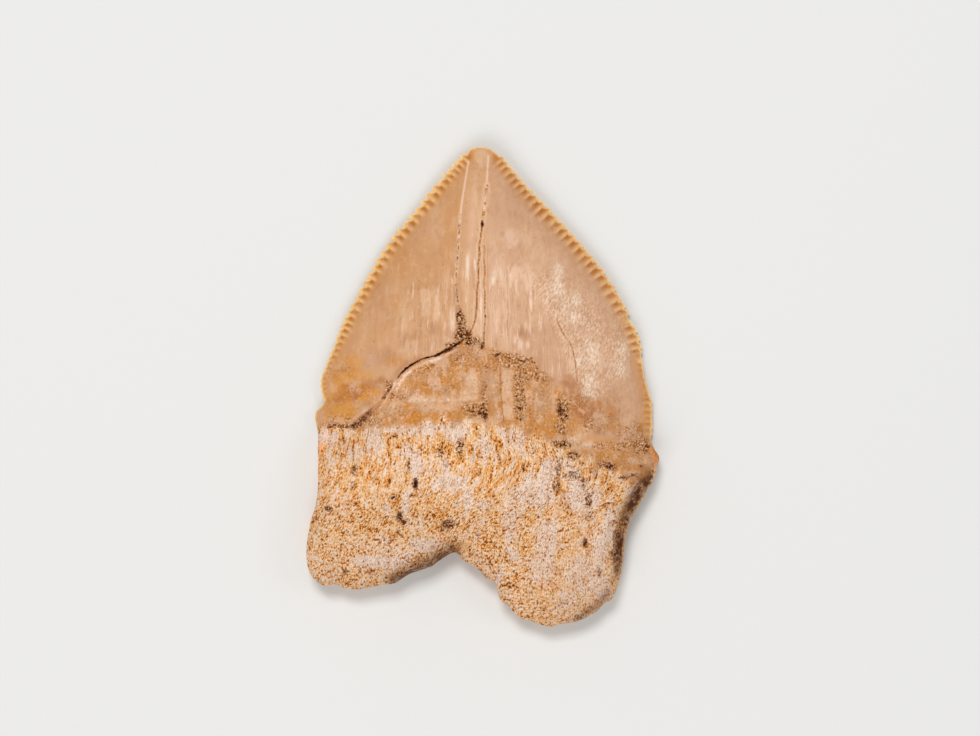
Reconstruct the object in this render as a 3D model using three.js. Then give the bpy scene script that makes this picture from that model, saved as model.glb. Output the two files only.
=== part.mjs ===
// A fossil shark tooth: a broad serrated crown on a thick two-lobed root, one piece, lying on its
// flat back. Millimetres, +Z up. +Y runs from the root to the crown's point, and +X to the right of the
// rounded face, which looks up. The origin is under the middle of the tooth, on the surface it lies on.
//
// The tooth is two height fields over one outline: the rounded face above and the flat back below,
// each a net of triangles through chosen points, joined by a narrow band at the rim.

import * as THREE from "three";

// ---- Driving dimensions -------------------------------------------------------------------------

const SERRATION_DEPTH = 0.24; // at the middle of each cutting edge
const SERRATION_PITCH = 0.52;
const RIDGE_LENGTH = 0.85; // how far a serration runs in over the face
const RIDGE_RISE = 0.05; // of its crest above the face, and fall of the groove beside it
const EDGE_HEIGHT = 0.62; // of the cutting edge above the surface the tooth lies on
const EDGE_BAND = 0.2; // thickness of the cutting edge itself
const ROOT_RIM_HEIGHT = 1.5; // of the root's widest line
const ROOT_RIM_BAND = 0.4;
const ROOT_ROUNDING = 1.7; // radius of the root's upper edge
const BACK_ROUNDING = 1.5; // and of its lower edge
const ENAMEL_STEP = 0.15; // the crown's enamel stands this far over the neck
const NECK_BLEND = 2.6; // length over which the crown's section turns into the root's
const NECK_HOLLOW = 0.14; // depth of the shallow trough along the neck
const BACK_HOLLOW = 0.3; // the root's back is hollow between the crown and the lobes
const BACK_FLAT = 0.45; // share of the crown's half width over which its back is flat
const POINT_LIFT = 0.3; // the crown's point bends up from the surface,
const LIFT_FROM = 8.5; // from this far up the crown
const CROWN_FULLNESS = 2.1; // power of the crown's arched section; 2 is a parabola
const ROOT_FALL = 0.2; // the root's face falls by this share from its middle to its sides
const NET_SPACING = 0.4; // of the triangle net on the face
const BACK_SPACING = 1.1; // and on the back

// Height of the face along the middle of the tooth, from the point of the crown to the root's lobes.
const SPINE = new THREE.SplineCurve(
  [
    [13.6, 1.0],
    [12.0, 1.45],
    [9.0, 2.15],
    [6.0, 2.7],
    [3.0, 3.1],
    [0.5, 3.4],
    [-2.0, 3.95],
    [-4.5, 4.6],
    [-7.0, 4.65],
    [-9.5, 4.2],
    [-12.0, 3.6],
    [-13.6, 3.2],
  ].map(([y, z]) => new THREE.Vector2(y, z)),
);

// ---- Outline ------------------------------------------------------------------------------------

const spline = (points) => new THREE.SplineCurve(points.map(([x, y]) => new THREE.Vector2(x, y)));

// The cutting edges run through the bottoms of their serrations, each from the point to the shoulder.
const LEFT_EDGE = spline([
  [-0.9, 13.1],
  [-1.68, 12.28],
  [-2.3, 11.5],
  [-3.92, 9.55],
  [-5.5, 7.57],
  [-6.76, 5.39],
  [-7.75, 3.62],
  [-8.39, 2.1],
  [-8.87, 1.02],
  [-9.13, 0.3],
  [-9.08, -0.35],
  [-8.95, -0.8],
]);
const RIGHT_EDGE = spline([
  [0.95, 13.0],
  [2.35, 11.3],
  [4.05, 9.5],
  [5.6, 7.8],
  [6.85, 6.25],
  [7.65, 4.95],
  [8.25, 3.85],
  [8.75, 2.6],
  [9.03, 1.4],
  [9.2, 0.4],
  [9.48, -0.7],
  [9.55, -2.0],
  [9.5, -2.9],
]);
// The blunted point, from left to right.
const POINT = spline([
  [-0.9, 13.1],
  [-0.66, 13.44],
  [-0.05, 13.52],
  [0.42, 13.42],
  [0.95, 13.0],
]);
// The root, from the right shoulder round both lobes and the notch to the left shoulder.
const ROOT = spline([
  [9.5, -2.9],
  [9.62, -3.45],
  [9.95, -4.0],
  [9.83, -4.45],
  [9.65, -5.1],
  [9.35, -5.7],
  [8.7, -6.85],
  [8.2, -7.85],
  [8.02, -8.7],
  [7.92, -9.7],
  [7.75, -10.6],
  [7.5, -11.5],
  [7.2, -12.0],
  [6.85, -12.2],
  [6.3, -12.75],
  [5.4, -13.18],
  [4.5, -13.38],
  [3.7, -13.5],
  [2.9, -13.25],
  [2.0, -12.95],
  [1.5, -12.4],
  [1.02, -12.02],
  [0.88, -11.45],
  [0.62, -11.0],
  [0.15, -10.75],
  [-0.1, -10.4],
  [-0.6, -10.08],
  [-1.1, -9.78],
  [-1.4, -9.43],
  [-1.75, -9.4],
  [-2.3, -9.7],
  [-3.0, -10.18],
  [-4.1, -10.57],
  [-4.9, -11.05],
  [-5.8, -11.2],
  [-7.0, -11.42],
  [-7.75, -11.36],
  [-8.15, -11.18],
  [-8.9, -11.2],
  [-9.55, -10.75],
  [-9.85, -10.0],
  [-9.9, -9.0],
  [-9.75, -8.0],
  [-9.45, -6.9],
  [-9.28, -6.0],
  [-9.25, -4.5],
  [-9.27, -3.0],
  [-9.35, -2.4],
  [-9.48, -1.95],
  [-9.45, -1.5],
  [-9.1, -1.1],
  [-8.95, -0.8],
]);
const ROOT_STEPS = 112;

// One serration from its upper notch to the next: share of the pitch, share of the depth.
const SERRATION_PROFILE = [
  [0, 0],
  [0.26, 0.66],
  [0.5, 1],
  [0.76, 0.6],
];
const LEFT_SIZE_BY_POINT = 0.95; // serrations beside the crown's point, as a share of the full size
const RIGHT_SIZE_BY_POINT = 0.5;
const SIZE_BY_SHOULDER = 0.38;
const FULL_FROM = 0.2; // share of a cutting edge at which its serrations are full size,
const FULL_TO = 0.68; // and at which they begin to shrink again
// Shares of the right edge where a serration has broken off, and where they are worn away.
const WORN_STRETCHES = [
  [0.615, 0.65],
  [0.75, 0.86],
];

const { clamp, lerp, smoothstep } = THREE.MathUtils;

function serrationSize(share, sizeByPoint) {
  const grown = lerp(sizeByPoint, 1, smoothstep(share, 0, FULL_FROM));
  return grown * lerp(1, SIZE_BY_SHOULDER, smoothstep(share, FULL_TO, 0.95));
}

const sideways = (tangent, sign) => new THREE.Vector2(-tangent.y, tangent.x).multiplyScalar(sign);

// The serrated edge from the crown's point to the shoulder. Each point of it carries its share of the
// serration's depth, 0 in a notch and 1 at a tip, and the serration's size.
function serrate(edge, outwards, sizeByPoint, wornStretches) {
  const length = edge.getLength();
  const points = [];
  for (let start = 0; start < length; ) {
    const size = serrationSize(start / length, sizeByPoint);
    const pitch = Math.min(SERRATION_PITCH * lerp(0.55, 1, size), length - start);
    for (const [step, rise] of SERRATION_PROFILE) {
      const share = Math.min((start + step * pitch) / length, 1);
      const worn = wornStretches.some(([from, to]) => share > from && share < to);
      const out = sideways(edge.getTangentAt(share), outwards);
      const at = edge.getPointAt(share).addScaledVector(out, worn ? 0 : SERRATION_DEPTH * size * rise);
      points.push({ at, inwards: out.negate(), rise, size });
    }
    start += pitch;
  }
  return points;
}

// Even points along a plain stretch of the outline, leaving out its first.
function plain(curve, steps) {
  return curve
    .getSpacedPoints(steps)
    .slice(1)
    .map((at, i) => ({ at, inwards: sideways(curve.getTangentAt((i + 1) / steps), -1) }));
}

// The whole rim, anticlockwise from above.
const leftSerrations = serrate(LEFT_EDGE, -1, LEFT_SIZE_BY_POINT, []);
const rightSerrations = serrate(RIGHT_EDGE, 1, RIGHT_SIZE_BY_POINT, WORN_STRETCHES);
const rootRim = plain(ROOT, ROOT_STEPS);
const rim = [
  ...leftSerrations,
  ...[...rootRim].reverse(),
  ...[...rightSerrations].reverse(),
  ...plain(POINT, 8).slice(0, -1).reverse(),
];
const rimPoints = rim.map((p) => p.at);
const closedRim = [...rimPoints, rimPoints[0]];

// The tooth's two sides, leaving out serrations and the notch between the lobes, from top to bottom.
const LOBES_Y = -9; // the tooth is taken to be this wide all the way down
const rootPoints = rootRim.map((p) => p.at);
const aboveLobes = (points) => points.filter((p) => p.y > LOBES_Y);
const rightSide = aboveLobes([...RIGHT_EDGE.getSpacedPoints(60), ...rootPoints]).filter((p) => p.x > 0);
const leftSide = aboveLobes([...LEFT_EDGE.getSpacedPoints(60), ...[...rootPoints].reverse()])
  .filter((p) => p.x < -0.8);

function sideX(side, y) {
  const i = side.findIndex((p) => p.y < y);
  if (i === 0) return side[0].x;
  if (i < 0) return side[side.length - 1].x;
  const [above, below] = [side[i - 1], side[i]];
  return lerp(above.x, below.x, (above.y - y) / Math.max(above.y - below.y, 1e-6));
}

// Where a place lies across the tooth, from -1 at the left side to 1 at the right.
function across(x, y) {
  const [left, right] = [sideX(leftSide, y), sideX(rightSide, y)];
  return clamp((2 * x - left - right) / (right - left), -1, 1);
}

function distanceTo(line, x, y) {
  let least = Infinity;
  for (let i = 1; i < line.length; i++) {
    const [a, b] = [line[i - 1], line[i]];
    const [dx, dy] = [b.x - a.x, b.y - a.y];
    const t = clamp(((x - a.x) * dx + (y - a.y) * dy) / (dx * dx + dy * dy), 0, 1);
    least = Math.min(least, Math.hypot(x - a.x - t * dx, y - a.y - t * dy));
  }
  return least;
}

function inside(polygon, x, y) {
  let within = false;
  polygon.forEach((a, i) => {
    const b = polygon[(i + 1) % polygon.length];
    if (a.y > y !== b.y > y && x < ((b.x - a.x) * (y - a.y)) / (b.y - a.y) + a.x) within = !within;
  });
  return within;
}

// ---- Marks on the face --------------------------------------------------------------------------

// Lower edge of the enamel, an arch from shoulder to shoulder.
const ENAMEL_EDGE = spline([
  [-10.2, -2.35],
  [-7.5, -2.3],
  [-6.35, -1.4],
  [-5.4, -0.5],
  [-4.7, 0.7],
  [-3.6, 1.5],
  [-2.5, 1.85],
  [-1.4, 2.45],
  [-0.7, 2.85],
  [0.1, 2.15],
  [1.7, 1.6],
  [3.1, 0.85],
  [4.3, 0.05],
  [4.9, -1.2],
  [5.6, -3.0],
  [7.0, -3.75],
  [8.6, -3.35],
  [10.5, -3.45],
]).getSpacedPoints(60);

// Along its left half the enamel has come away from the neck and leaves a gap, with a lip below it.
const GAP = { from: -6.2, to: -0.9, depth: 0.34, halfWidth: 0.2 };
const LIP_RISE = 0.08;

// Long cracks: route, depth and half width.
const CRACKS = [
  { route: [[-0.78, 12.9], [-1.2, 9.7], [-1.42, 7.0], [-1.42, 5.0]], depth: 0.09, half: 0.12 },
  { route: [[-1.42, 5.0], [-1.2, 4.0], [-1.3, 2.9]], depth: 0.2, half: 0.26 },
  { route: [[0.22, 12.6], [0.08, 10.2], [-0.2, 7.0], [-0.38, 4.0], [-0.75, 3.1]], depth: 0.12, half: 0.12 },
  { route: [[0.12, 6.5], [0.14, 4.4], [0.02, 2.5]], depth: 0.09, half: 0.1 },
  { route: [[4.3, 3.3], [5.05, 2.0], [5.35, 0.7]], depth: 0.06, half: 0.12 },
  { route: [[1.0, 1.2], [1.1, -0.4], [1.15, -1.9]], depth: 0.07, half: 0.12 },
].map((crack) => ({ ...crack, line: spline(crack.route).getSpacedPoints(24) }));

// The strip between the two longest cracks stands a little proud. It leans as it goes up.
const STRIP = { x: -0.75, atY: 8, lean: 0.06, half: 0.55, rise: 0.06 };

// Shallow upright furrows low on the crown: x, top and bottom.
const FURROWS = [
  [-4.3, 6.5, 2.2],
  [-3.3, 7.5, 2.6],
  [-2.3, 7.0, 2.9],
  [1.45, 7.2, 2.4],
  [2.1, 6.6, 2.2],
  [2.9, 6.2, 1.6],
  [3.7, 5.6, 1.2],
];
const FURROW_DEPTH = 0.06;
const FURROW_HALF = 0.26;

// Larger pits in the root and neck: x, y, radius.
const PITS = [
  [-5.0, -6.2, 0.3],
  [-4.65, -7.2, 0.38],
  [-4.7, -8.1, 0.2],
  [-3.7, -5.5, 0.32],
  [-1.95, -7.6, 0.36],
  [-8.6, -6.8, 0.28],
  [-7.2, -4.7, 0.24],
  [-7.6, -10.3, 0.26],
  [0.1, -1.6, 0.42],
  [-0.6, -1.2, 0.26],
  [2.1, -1.2, 0.3],
  [2.0, 0.2, 0.22],
  [4.5, -1.4, 0.4],
  [4.25, -5.8, 0.34],
  [4.7, -6.7, 0.22],
  [3.1, -7.2, 0.2],
  [5.7, -8.7, 0.26],
  [6.5, -10.3, 0.34],
  [7.2, -4.6, 0.36],
  [8.0, -5.2, 0.26],
  [1.9, -11.2, 0.2],
  [3.4, -12.3, 0.22],
];
const PIT_DEPTH_SHARE = 0.6; // of the radius

// The root's fibres run down from the neck as low ripples that spread towards the lobes.
const FIBRES = { x: -0.8, top: -2.4, bottom: -8, pitch: 0.95, rise: 0.045, spread: 0.05, halfCount: 7 };

// Hollow down the right side of the root, and the valley that leads to the notch.
const SIDE_HOLLOW = spline([[9.2, -4.9], [8.45, -6.4], [7.75, -8.2], [7.35, -10.0]]).getSpacedPoints(16);
const SIDE_HOLLOW_DEPTH = 0.5;
const SIDE_HOLLOW_HALF = 0.8;
const VALLEY = { x: -1.5, halfWidth: 1.8, depth: 0.6, from: -4.5, to: -9.4 };

// ---- Heights ------------------------------------------------------------------------------------

// Distance above the enamel's edge, negative on the neck and root.
function aboveEnamelEdge(x, y) {
  const i = Math.max(ENAMEL_EDGE.findIndex((p) => p.x > x), 1);
  const [a, b] = [ENAMEL_EDGE[i - 1], ENAMEL_EDGE[i]];
  const edgeY = lerp(a.y, b.y, (x - a.x) / (b.x - a.x));
  return distanceTo(ENAMEL_EDGE, x, y) * Math.sign(y - edgeY);
}

function spineHeight(y) {
  const points = SPINE.points;
  const i = clamp(points.findIndex((p) => p.x < y), 1, points.length - 1);
  const t = clamp((points[i - 1].x - y) / (points[i - 1].x - points[i].x), 0, 1);
  return SPINE.getPoint((i - 1 + t) / (points.length - 1)).y;
}

const quarterCircle = (t) => Math.sqrt(1 - (1 - Math.min(t, 1)) ** 2);
const dip = (distance, half) => Math.max(0, 1 - (distance / half) ** 2);
const hump = (distance, half) => Math.exp(-((distance / half) ** 2));

const pointLift = (y) => POINT_LIFT * smoothstep(y, LIFT_FROM, 13.5);

// The rim's height and thickness: low and thin at the cutting edges, high and thick on the root.
function rimSection(x, y) {
  const root = smoothstep(-aboveEnamelEdge(x, y), -0.7, 1.2);
  return {
    middle: lerp(EDGE_HEIGHT + pointLift(y), ROOT_RIM_HEIGHT, root),
    half: lerp(EDGE_BAND, ROOT_RIM_BAND, root) / 2,
  };
}

function markDepth(x, y, aboveEdge) {
  let depth = 0;
  for (const { line, depth: deep, half } of CRACKS) depth += deep * dip(distanceTo(line, x, y), half);
  for (const [at, top, bottom] of FURROWS) {
    const ends = smoothstep(y, bottom - 0.6, bottom + 0.6) * smoothstep(top - y, 0, 2);
    depth += FURROW_DEPTH * dip(x - at, FURROW_HALF) * ends;
  }
  for (const [px, py, r] of PITS) depth += PIT_DEPTH_SHARE * r * dip(Math.hypot(x - px, y - py), r);
  const alongGap = smoothstep(x, GAP.from, GAP.from + 0.5) * smoothstep(GAP.to - x, 0, 0.4);
  depth += GAP.depth * dip(aboveEdge + 0.12, GAP.halfWidth) * alongGap;
  depth -= LIP_RISE * hump(aboveEdge + 0.5, 0.25) * alongGap;
  const alongHollow = smoothstep(-y, 4.8, 7) * smoothstep(y, -10.5, -8);
  depth += SIDE_HOLLOW_DEPTH * dip(distanceTo(SIDE_HOLLOW, x, y), SIDE_HOLLOW_HALF) * alongHollow;
  depth += VALLEY.depth * hump(x - VALLEY.x, VALLEY.halfWidth) * smoothstep(-y, -VALLEY.from, -VALLEY.to);
  depth += NECK_HOLLOW * hump(aboveEdge + 1.4, 0.9) * smoothstep(6 - Math.abs(x), 0, 2);
  return depth;
}

function faceHeight(x, y) {
  const u = across(x, y);
  const edge = distanceTo(closedRim, x, y);
  const aboveEdge = aboveEnamelEdge(x, y);
  const spine = spineHeight(y);
  const cuttingEdge = EDGE_HEIGHT + pointLift(y) + EDGE_BAND / 2;
  const crown = cuttingEdge + (spine - cuttingEdge) * (1 - Math.abs(u) ** CROWN_FULLNESS);
  const lowest = ROOT_RIM_HEIGHT + ROOT_RIM_BAND / 2;
  const rootTop = spine * (1 - ROOT_FALL * u * u);
  const root = lowest + (rootTop - lowest) * quarterCircle(edge / ROOT_ROUNDING);
  let z = lerp(crown, root, smoothstep(-aboveEdge, -0.2, NECK_BLEND));

  const inner = smoothstep(edge, 0.1, 1.2); // keeps the rim itself plain
  z += inner * ENAMEL_STEP * smoothstep(aboveEdge, -0.06, 0.1);
  const fromStrip = x - STRIP.x - STRIP.lean * (y - STRIP.atY);
  z += inner * STRIP.rise * dip(fromStrip, STRIP.half) * smoothstep(y, 3, 6);
  z += inner * FIBRES.rise * fibre(x, y) * smoothstep(-aboveEdge, 2.2, 3.2) * smoothstep(y, -9.5, -6.5);
  return z - markDepth(x, y, aboveEdge) * smoothstep(edge, 0, 0.5);
}

const fibrePitch = (y) => FIBRES.pitch * (1 + FIBRES.spread * (FIBRES.top - y));
const fibre = (x, y) => Math.cos((2 * Math.PI * (x - FIBRES.x)) / fibrePitch(y));

function backHeight(x, y) {
  const u = Math.abs(across(x, y));
  const edge = distanceTo(closedRim, x, y);
  const bend = Math.max(0, (u - BACK_FLAT) / (1 - BACK_FLAT)) ** 1.6;
  const crown = pointLift(y) + (EDGE_HEIGHT - EDGE_BAND / 2) * bend;
  const highest = ROOT_RIM_HEIGHT - ROOT_RIM_BAND / 2;
  const hollow = BACK_HOLLOW * smoothstep(y, -8.3, -6);
  const root = hollow + (highest - hollow) * (1 - quarterCircle(edge / BACK_ROUNDING));
  return lerp(crown, root, smoothstep(-1.2 - y, 0, 2));
}

// ---- Triangle nets ------------------------------------------------------------------------------

// Delaunay triangles through the points, as index triples, anticlockwise.
function triangulate(points) {
  const far = 1000;
  const all = [...points, { x: -far, y: -far }, { x: far, y: -far }, { x: 0, y: far }];
  const withCircle = (corners) => {
    const [p, q, r] = corners.map((i) => all[i]);
    const [pp, qq, rr] = [p, q, r].map((v) => v.x * v.x + v.y * v.y);
    const d = 2 * (p.x * (q.y - r.y) + q.x * (r.y - p.y) + r.x * (p.y - q.y));
    const x = (pp * (q.y - r.y) + qq * (r.y - p.y) + rr * (p.y - q.y)) / d;
    const y = (pp * (r.x - q.x) + qq * (p.x - r.x) + rr * (q.x - p.x)) / d;
    return { corners, x, y, radius: Math.hypot(p.x - x, p.y - y) };
  };
  const n = points.length;
  let triangles = [withCircle([n, n + 1, n + 2])];
  points.forEach((point, i) => {
    const border = new Map(); // of the hole left by the triangles whose circle holds the point
    triangles = triangles.filter(({ corners, x, y, radius }) => {
      if (Math.hypot(point.x - x, point.y - y) >= radius) return true;
      corners.forEach((a, k) => {
        const b = corners[(k + 1) % 3];
        if (!border.delete(`${b},${a}`)) border.set(`${a},${b}`, [a, b]);
      });
      return false;
    });
    for (const [a, b] of border.values()) triangles.push(withCircle([a, b, i]));
  });
  return triangles.map((t) => t.corners).filter((corners) => Math.max(...corners) < n);
}

// A repeatable number from -0.5 to 0.5 for each place, which keeps the nets from looking ruled.
function scatter(x, y) {
  const n = Math.sin(x * 127.1 + y * 311.7) * 43758.5453;
  return n - Math.floor(n) - 0.5;
}

// The points of one net: the rim, then the offered places that keep their distance from what is
// already there, then an even filling.
function netPoints(offered, spacing) {
  const points = rimPoints.map((at) => ({ x: at.x, y: at.y, rise: 0 }));
  const add = ({ x, y, gap, rise = 0 }) => {
    if (!inside(rimPoints, x, y) || distanceTo(closedRim, x, y) < 0.9 * gap) return;
    if (points.every((p) => Math.hypot(p.x - x, p.y - y) >= gap)) points.push({ x, y, rise });
  };
  offered.forEach(add);
  const rowStep = spacing * Math.sqrt(0.75);
  for (let row = 0; row * rowStep < 28; row++)
    for (let column = 0; column * spacing < 21; column++) {
      const x = -10.2 + (column + (row % 2) / 2) * spacing;
      const y = -13.7 + row * rowStep;
      const sway = 0.3 * spacing;
      add({ x: x + sway * scatter(x, y), y: y + sway * scatter(y, x), gap: 0.62 * spacing });
    }
  return points;
}

// Places at even steps beside a line, at the given distances to its left.
function beside(line, offsets, step, gap) {
  const path = new THREE.SplineCurve(line);
  const count = Math.max(2, Math.round(path.getLength() / step));
  return Array.from({ length: count + 1 }, (_, i) => {
    const at = path.getPointAt(i / count);
    const left = sideways(path.getTangentAt(i / count), 1);
    return offsets.map((offset) => ({ x: at.x + left.x * offset, y: at.y + left.y * offset, gap }));
  }).flat();
}

// Places inside the rim: a crest behind each serration and a groove behind each notch, and steps down
// the root's rounded edge.
const ROOT_RINGS = [0.14, 0.42, 0.9, 1.6];

function overSerrations() {
  return [...leftSerrations, ...rightSerrations]
    .filter(({ rise }) => rise === 0 || rise === 1)
    .flatMap(({ at, inwards, rise, size }) =>
      [0.45, 1].map((share) => ({
        x: at.x + inwards.x * share * RIDGE_LENGTH * size,
        y: at.y + inwards.y * share * RIDGE_LENGTH * size,
        gap: 0.15,
        rise: share < 1 ? RIDGE_RISE * (2 * rise - 1) * size : 0,
      })),
    );
}

function downRootEdge() {
  return ROOT_RINGS.flatMap((ring, k) =>
    rootRim
      .filter((_, i) => k === 0 || (i + k) % 2 === 0)
      .map(({ at, inwards }) => at.clone().addScaledVector(inwards, ring))
      .map(({ x, y }) => ({ x, y, gap: 0.12 + 0.1 * k })),
  );
}

// On the crests and in the troughs between them.
function alongFibres() {
  const halves = Array.from({ length: 4 * FIBRES.halfCount + 1 }, (_, k) => k / 2 - FIBRES.halfCount);
  return halves.flatMap((n) => {
    const at = (y) => new THREE.Vector2(FIBRES.x + n * fibrePitch(y), y);
    return beside([at(FIBRES.top), at(FIBRES.bottom)], [0], 0.75, 0.3);
  });
}

function alongFurrows() {
  return FURROWS.flatMap(([x, top, bottom]) => {
    const line = [new THREE.Vector2(x, top), new THREE.Vector2(x, bottom)];
    return beside(line, [0, FURROW_HALF, -FURROW_HALF], 0.7, 0.18);
  });
}

function overPits() {
  return PITS.flatMap(([x, y, r]) => [
    { x, y, gap: 0.1 },
    ...Array.from({ length: 7 }, (_, k) => {
      const radius = r * (1 + 0.5 * scatter(x + k, y));
      const angle = (2 * Math.PI * k) / 7;
      return { x: x + radius * Math.cos(angle), y: y + radius * Math.sin(angle), gap: 0.1 };
    }),
  ]);
}

const facePoints = netPoints(
  [
    ...overSerrations(),
    ...downRootEdge(),
    ...beside(ENAMEL_EDGE, [0.1, -0.12], 0.4, 0.1),
    ...beside(ENAMEL_EDGE, [-0.32, -0.52], 0.5, 0.14),
    ...CRACKS.flatMap(({ line, half }) => beside(line, [0, half, -half], 0.45, 0.6 * half)),
    ...overPits(),
    ...alongFurrows(),
    ...alongFibres(),
  ],
  NET_SPACING,
);
const backPoints = netPoints(downRootEdge(), BACK_SPACING);

// ---- The solid ----------------------------------------------------------------------------------

function netTriangles(points) {
  return triangulate(points).filter((corners) => {
    const x = corners.reduce((sum, i) => sum + points[i].x, 0) / 3;
    const y = corners.reduce((sum, i) => sum + points[i].y, 0) / 3;
    return inside(rimPoints, x, y);
  });
}

function toothGeometry() {
  const isRim = (i) => i < rimPoints.length;
  const face = facePoints.map(({ x, y, rise }, i) => {
    const { middle, half } = rimSection(x, y);
    return [x, y, isRim(i) ? middle + half : Math.max(faceHeight(x, y) + rise, middle + half)];
  });
  const back = backPoints.map(({ x, y }, i) => {
    const { middle, half } = rimSection(x, y);
    return [x, y, isRim(i) ? middle - half : Math.min(backHeight(x, y), middle - half)];
  });
  const index = netTriangles(facePoints).flat();
  const first = face.length; // of the back's points
  for (const [a, b, c] of netTriangles(backPoints)) index.push(first + a, first + c, first + b);
  rimPoints.forEach((_, i) => {
    const next = (i + 1) % rimPoints.length;
    index.push(first + i, first + next, next, first + i, next, i);
  });
  const geometry = new THREE.BufferGeometry();
  geometry.setAttribute("position", new THREE.Float32BufferAttribute([...face, ...back].flat(), 3));
  geometry.setIndex(index);
  geometry.computeBoundingBox();
  const middle = geometry.boundingBox.getCenter(new THREE.Vector3());
  geometry.translate(-middle.x, -middle.y, -geometry.boundingBox.min.z);
  geometry.computeVertexNormals();
  return geometry;
}

const tooth = new THREE.Mesh(
  toothGeometry(),
  new THREE.MeshStandardMaterial({ color: 0xd9ab7c, roughness: 0.5, metalness: 0 }),
);
tooth.name = "shark_tooth";

const group = new THREE.Group();
group.add(tooth);

export default group;
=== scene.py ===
import math
import bpy
import numpy as np
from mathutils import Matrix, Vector, kdtree


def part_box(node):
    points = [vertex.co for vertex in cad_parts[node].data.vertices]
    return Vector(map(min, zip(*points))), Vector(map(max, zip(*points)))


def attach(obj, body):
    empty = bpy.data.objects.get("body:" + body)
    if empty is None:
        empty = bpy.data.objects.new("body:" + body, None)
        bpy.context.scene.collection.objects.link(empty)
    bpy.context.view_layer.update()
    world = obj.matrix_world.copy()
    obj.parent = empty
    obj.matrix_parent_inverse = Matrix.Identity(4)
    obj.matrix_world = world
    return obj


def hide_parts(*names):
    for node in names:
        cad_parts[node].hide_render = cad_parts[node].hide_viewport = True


# A fossil shark tooth lying on its flat back. All sizes in the dictionaries are millimetres.
# +Y runs to the crown's point, +X to the right of the rounded face, +Z up.

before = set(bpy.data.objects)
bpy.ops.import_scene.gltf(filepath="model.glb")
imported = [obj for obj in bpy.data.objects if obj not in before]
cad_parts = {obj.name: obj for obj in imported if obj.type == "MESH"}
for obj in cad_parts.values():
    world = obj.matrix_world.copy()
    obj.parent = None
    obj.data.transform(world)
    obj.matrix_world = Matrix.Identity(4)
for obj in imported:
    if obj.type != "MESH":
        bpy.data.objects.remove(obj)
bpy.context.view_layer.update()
mm = 0.001

outline = {  # cutting edges run through the bottoms of their serrations, point first
    "left": [(-0.9, 13.1), (-1.68, 12.28), (-2.3, 11.5), (-3.92, 9.55), (-5.5, 7.57), (-6.76, 5.39),
             (-7.75, 3.62), (-8.39, 2.1), (-8.87, 1.02), (-9.13, 0.3), (-9.08, -0.35), (-8.95, -0.8)],
    "right": [(0.95, 13.0), (2.35, 11.3), (4.05, 9.5), (5.6, 7.8), (6.85, 6.25), (7.65, 4.95),
              (8.25, 3.85), (8.75, 2.6), (9.03, 1.4), (9.2, 0.4), (9.48, -0.7), (9.55, -2.0),
              (9.5, -2.9)],
    "point": [(-0.9, 13.1), (-0.66, 13.44), (-0.05, 13.52), (0.42, 13.42), (0.95, 13.0)],
    "root": [(9.5, -2.9), (9.62, -3.45), (9.95, -4.0), (9.83, -4.45), (9.65, -5.1), (9.35, -5.7),
             (8.7, -6.85), (8.2, -7.85), (8.02, -8.7), (7.92, -9.7), (7.75, -10.6), (7.5, -11.5),
             (7.2, -12.0), (6.85, -12.2), (6.3, -12.75), (5.4, -13.18), (4.5, -13.38), (3.7, -13.5),
             (2.9, -13.25), (2.0, -12.95), (1.5, -12.4), (1.02, -12.02), (0.88, -11.45),
             (0.62, -11.0), (0.15, -10.75), (-0.1, -10.4), (-0.6, -10.08), (-1.1, -9.78),
             (-1.4, -9.43), (-1.75, -9.4), (-2.3, -9.7), (-3.0, -10.18), (-4.1, -10.57),
             (-4.9, -11.05), (-5.8, -11.2), (-7.0, -11.42), (-7.75, -11.36), (-8.15, -11.18),
             (-8.9, -11.2), (-9.55, -10.75), (-9.85, -10.0), (-9.9, -9.0), (-9.75, -8.0),
             (-9.45, -6.9), (-9.28, -6.0), (-9.25, -4.5), (-9.27, -3.0), (-9.35, -2.4),
             (-9.48, -1.95), (-9.45, -1.5), (-9.1, -1.1), (-8.95, -0.8)],
    "crumble": 0.035,  # roughness of the root's rim
    "crumbleWidth": 0.5,
    "rimSpacing": 0.045,
}

serrations = {  # share down the edge: pitch, depth
    "left": {0: (0.34, 0.2), 0.08: (0.42, 0.25), 0.15: (0.5, 0.27), 0.6: (0.5, 0.24),
             0.75: (0.42, 0.16), 0.87: (0.34, 0.08), 1: (0.3, 0.05)},
    "right": {0: (0.38, 0.12), 0.1: (0.45, 0.17), 0.2: (0.52, 0.2), 0.6: (0.52, 0.19),
              0.72: (0.46, 0.16), 0.86: (0.38, 0.1), 1: (0.35, 0.07)},
    "shape": {  # share of the pitch, from its upper notch: share of the depth
        "left": [(0, 0), (0.15, 0.32), (0.3, 0.58), (0.5, 0.82), (0.7, 0.98), (0.83, 1), (0.92, 0.72),
                 (0.97, 0.35), (1, 0)],
        "right": [(0, 0), (0.08, 0.3), (0.22, 0.65), (0.4, 0.92), (0.56, 1), (0.7, 1), (0.82, 0.86),
                  (0.91, 0.58), (0.96, 0.28), (1, 0)],
    },
    "unevenness": 0.14,
    "worn": [(4.05, 3.5), (1.9, -0.65)],  # y ranges of the right edge
    "wear": 0.93,
    "crest": [(0, -0.8), (0.1, -1), (0.25, -0.6), (0.45, 0.2), (0.65, 0.9), (0.8, 1), (0.92, 0.2), (1, -0.8)],
    "crestHeight": 0.095,
    "crestLength": 0.9,
}

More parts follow.
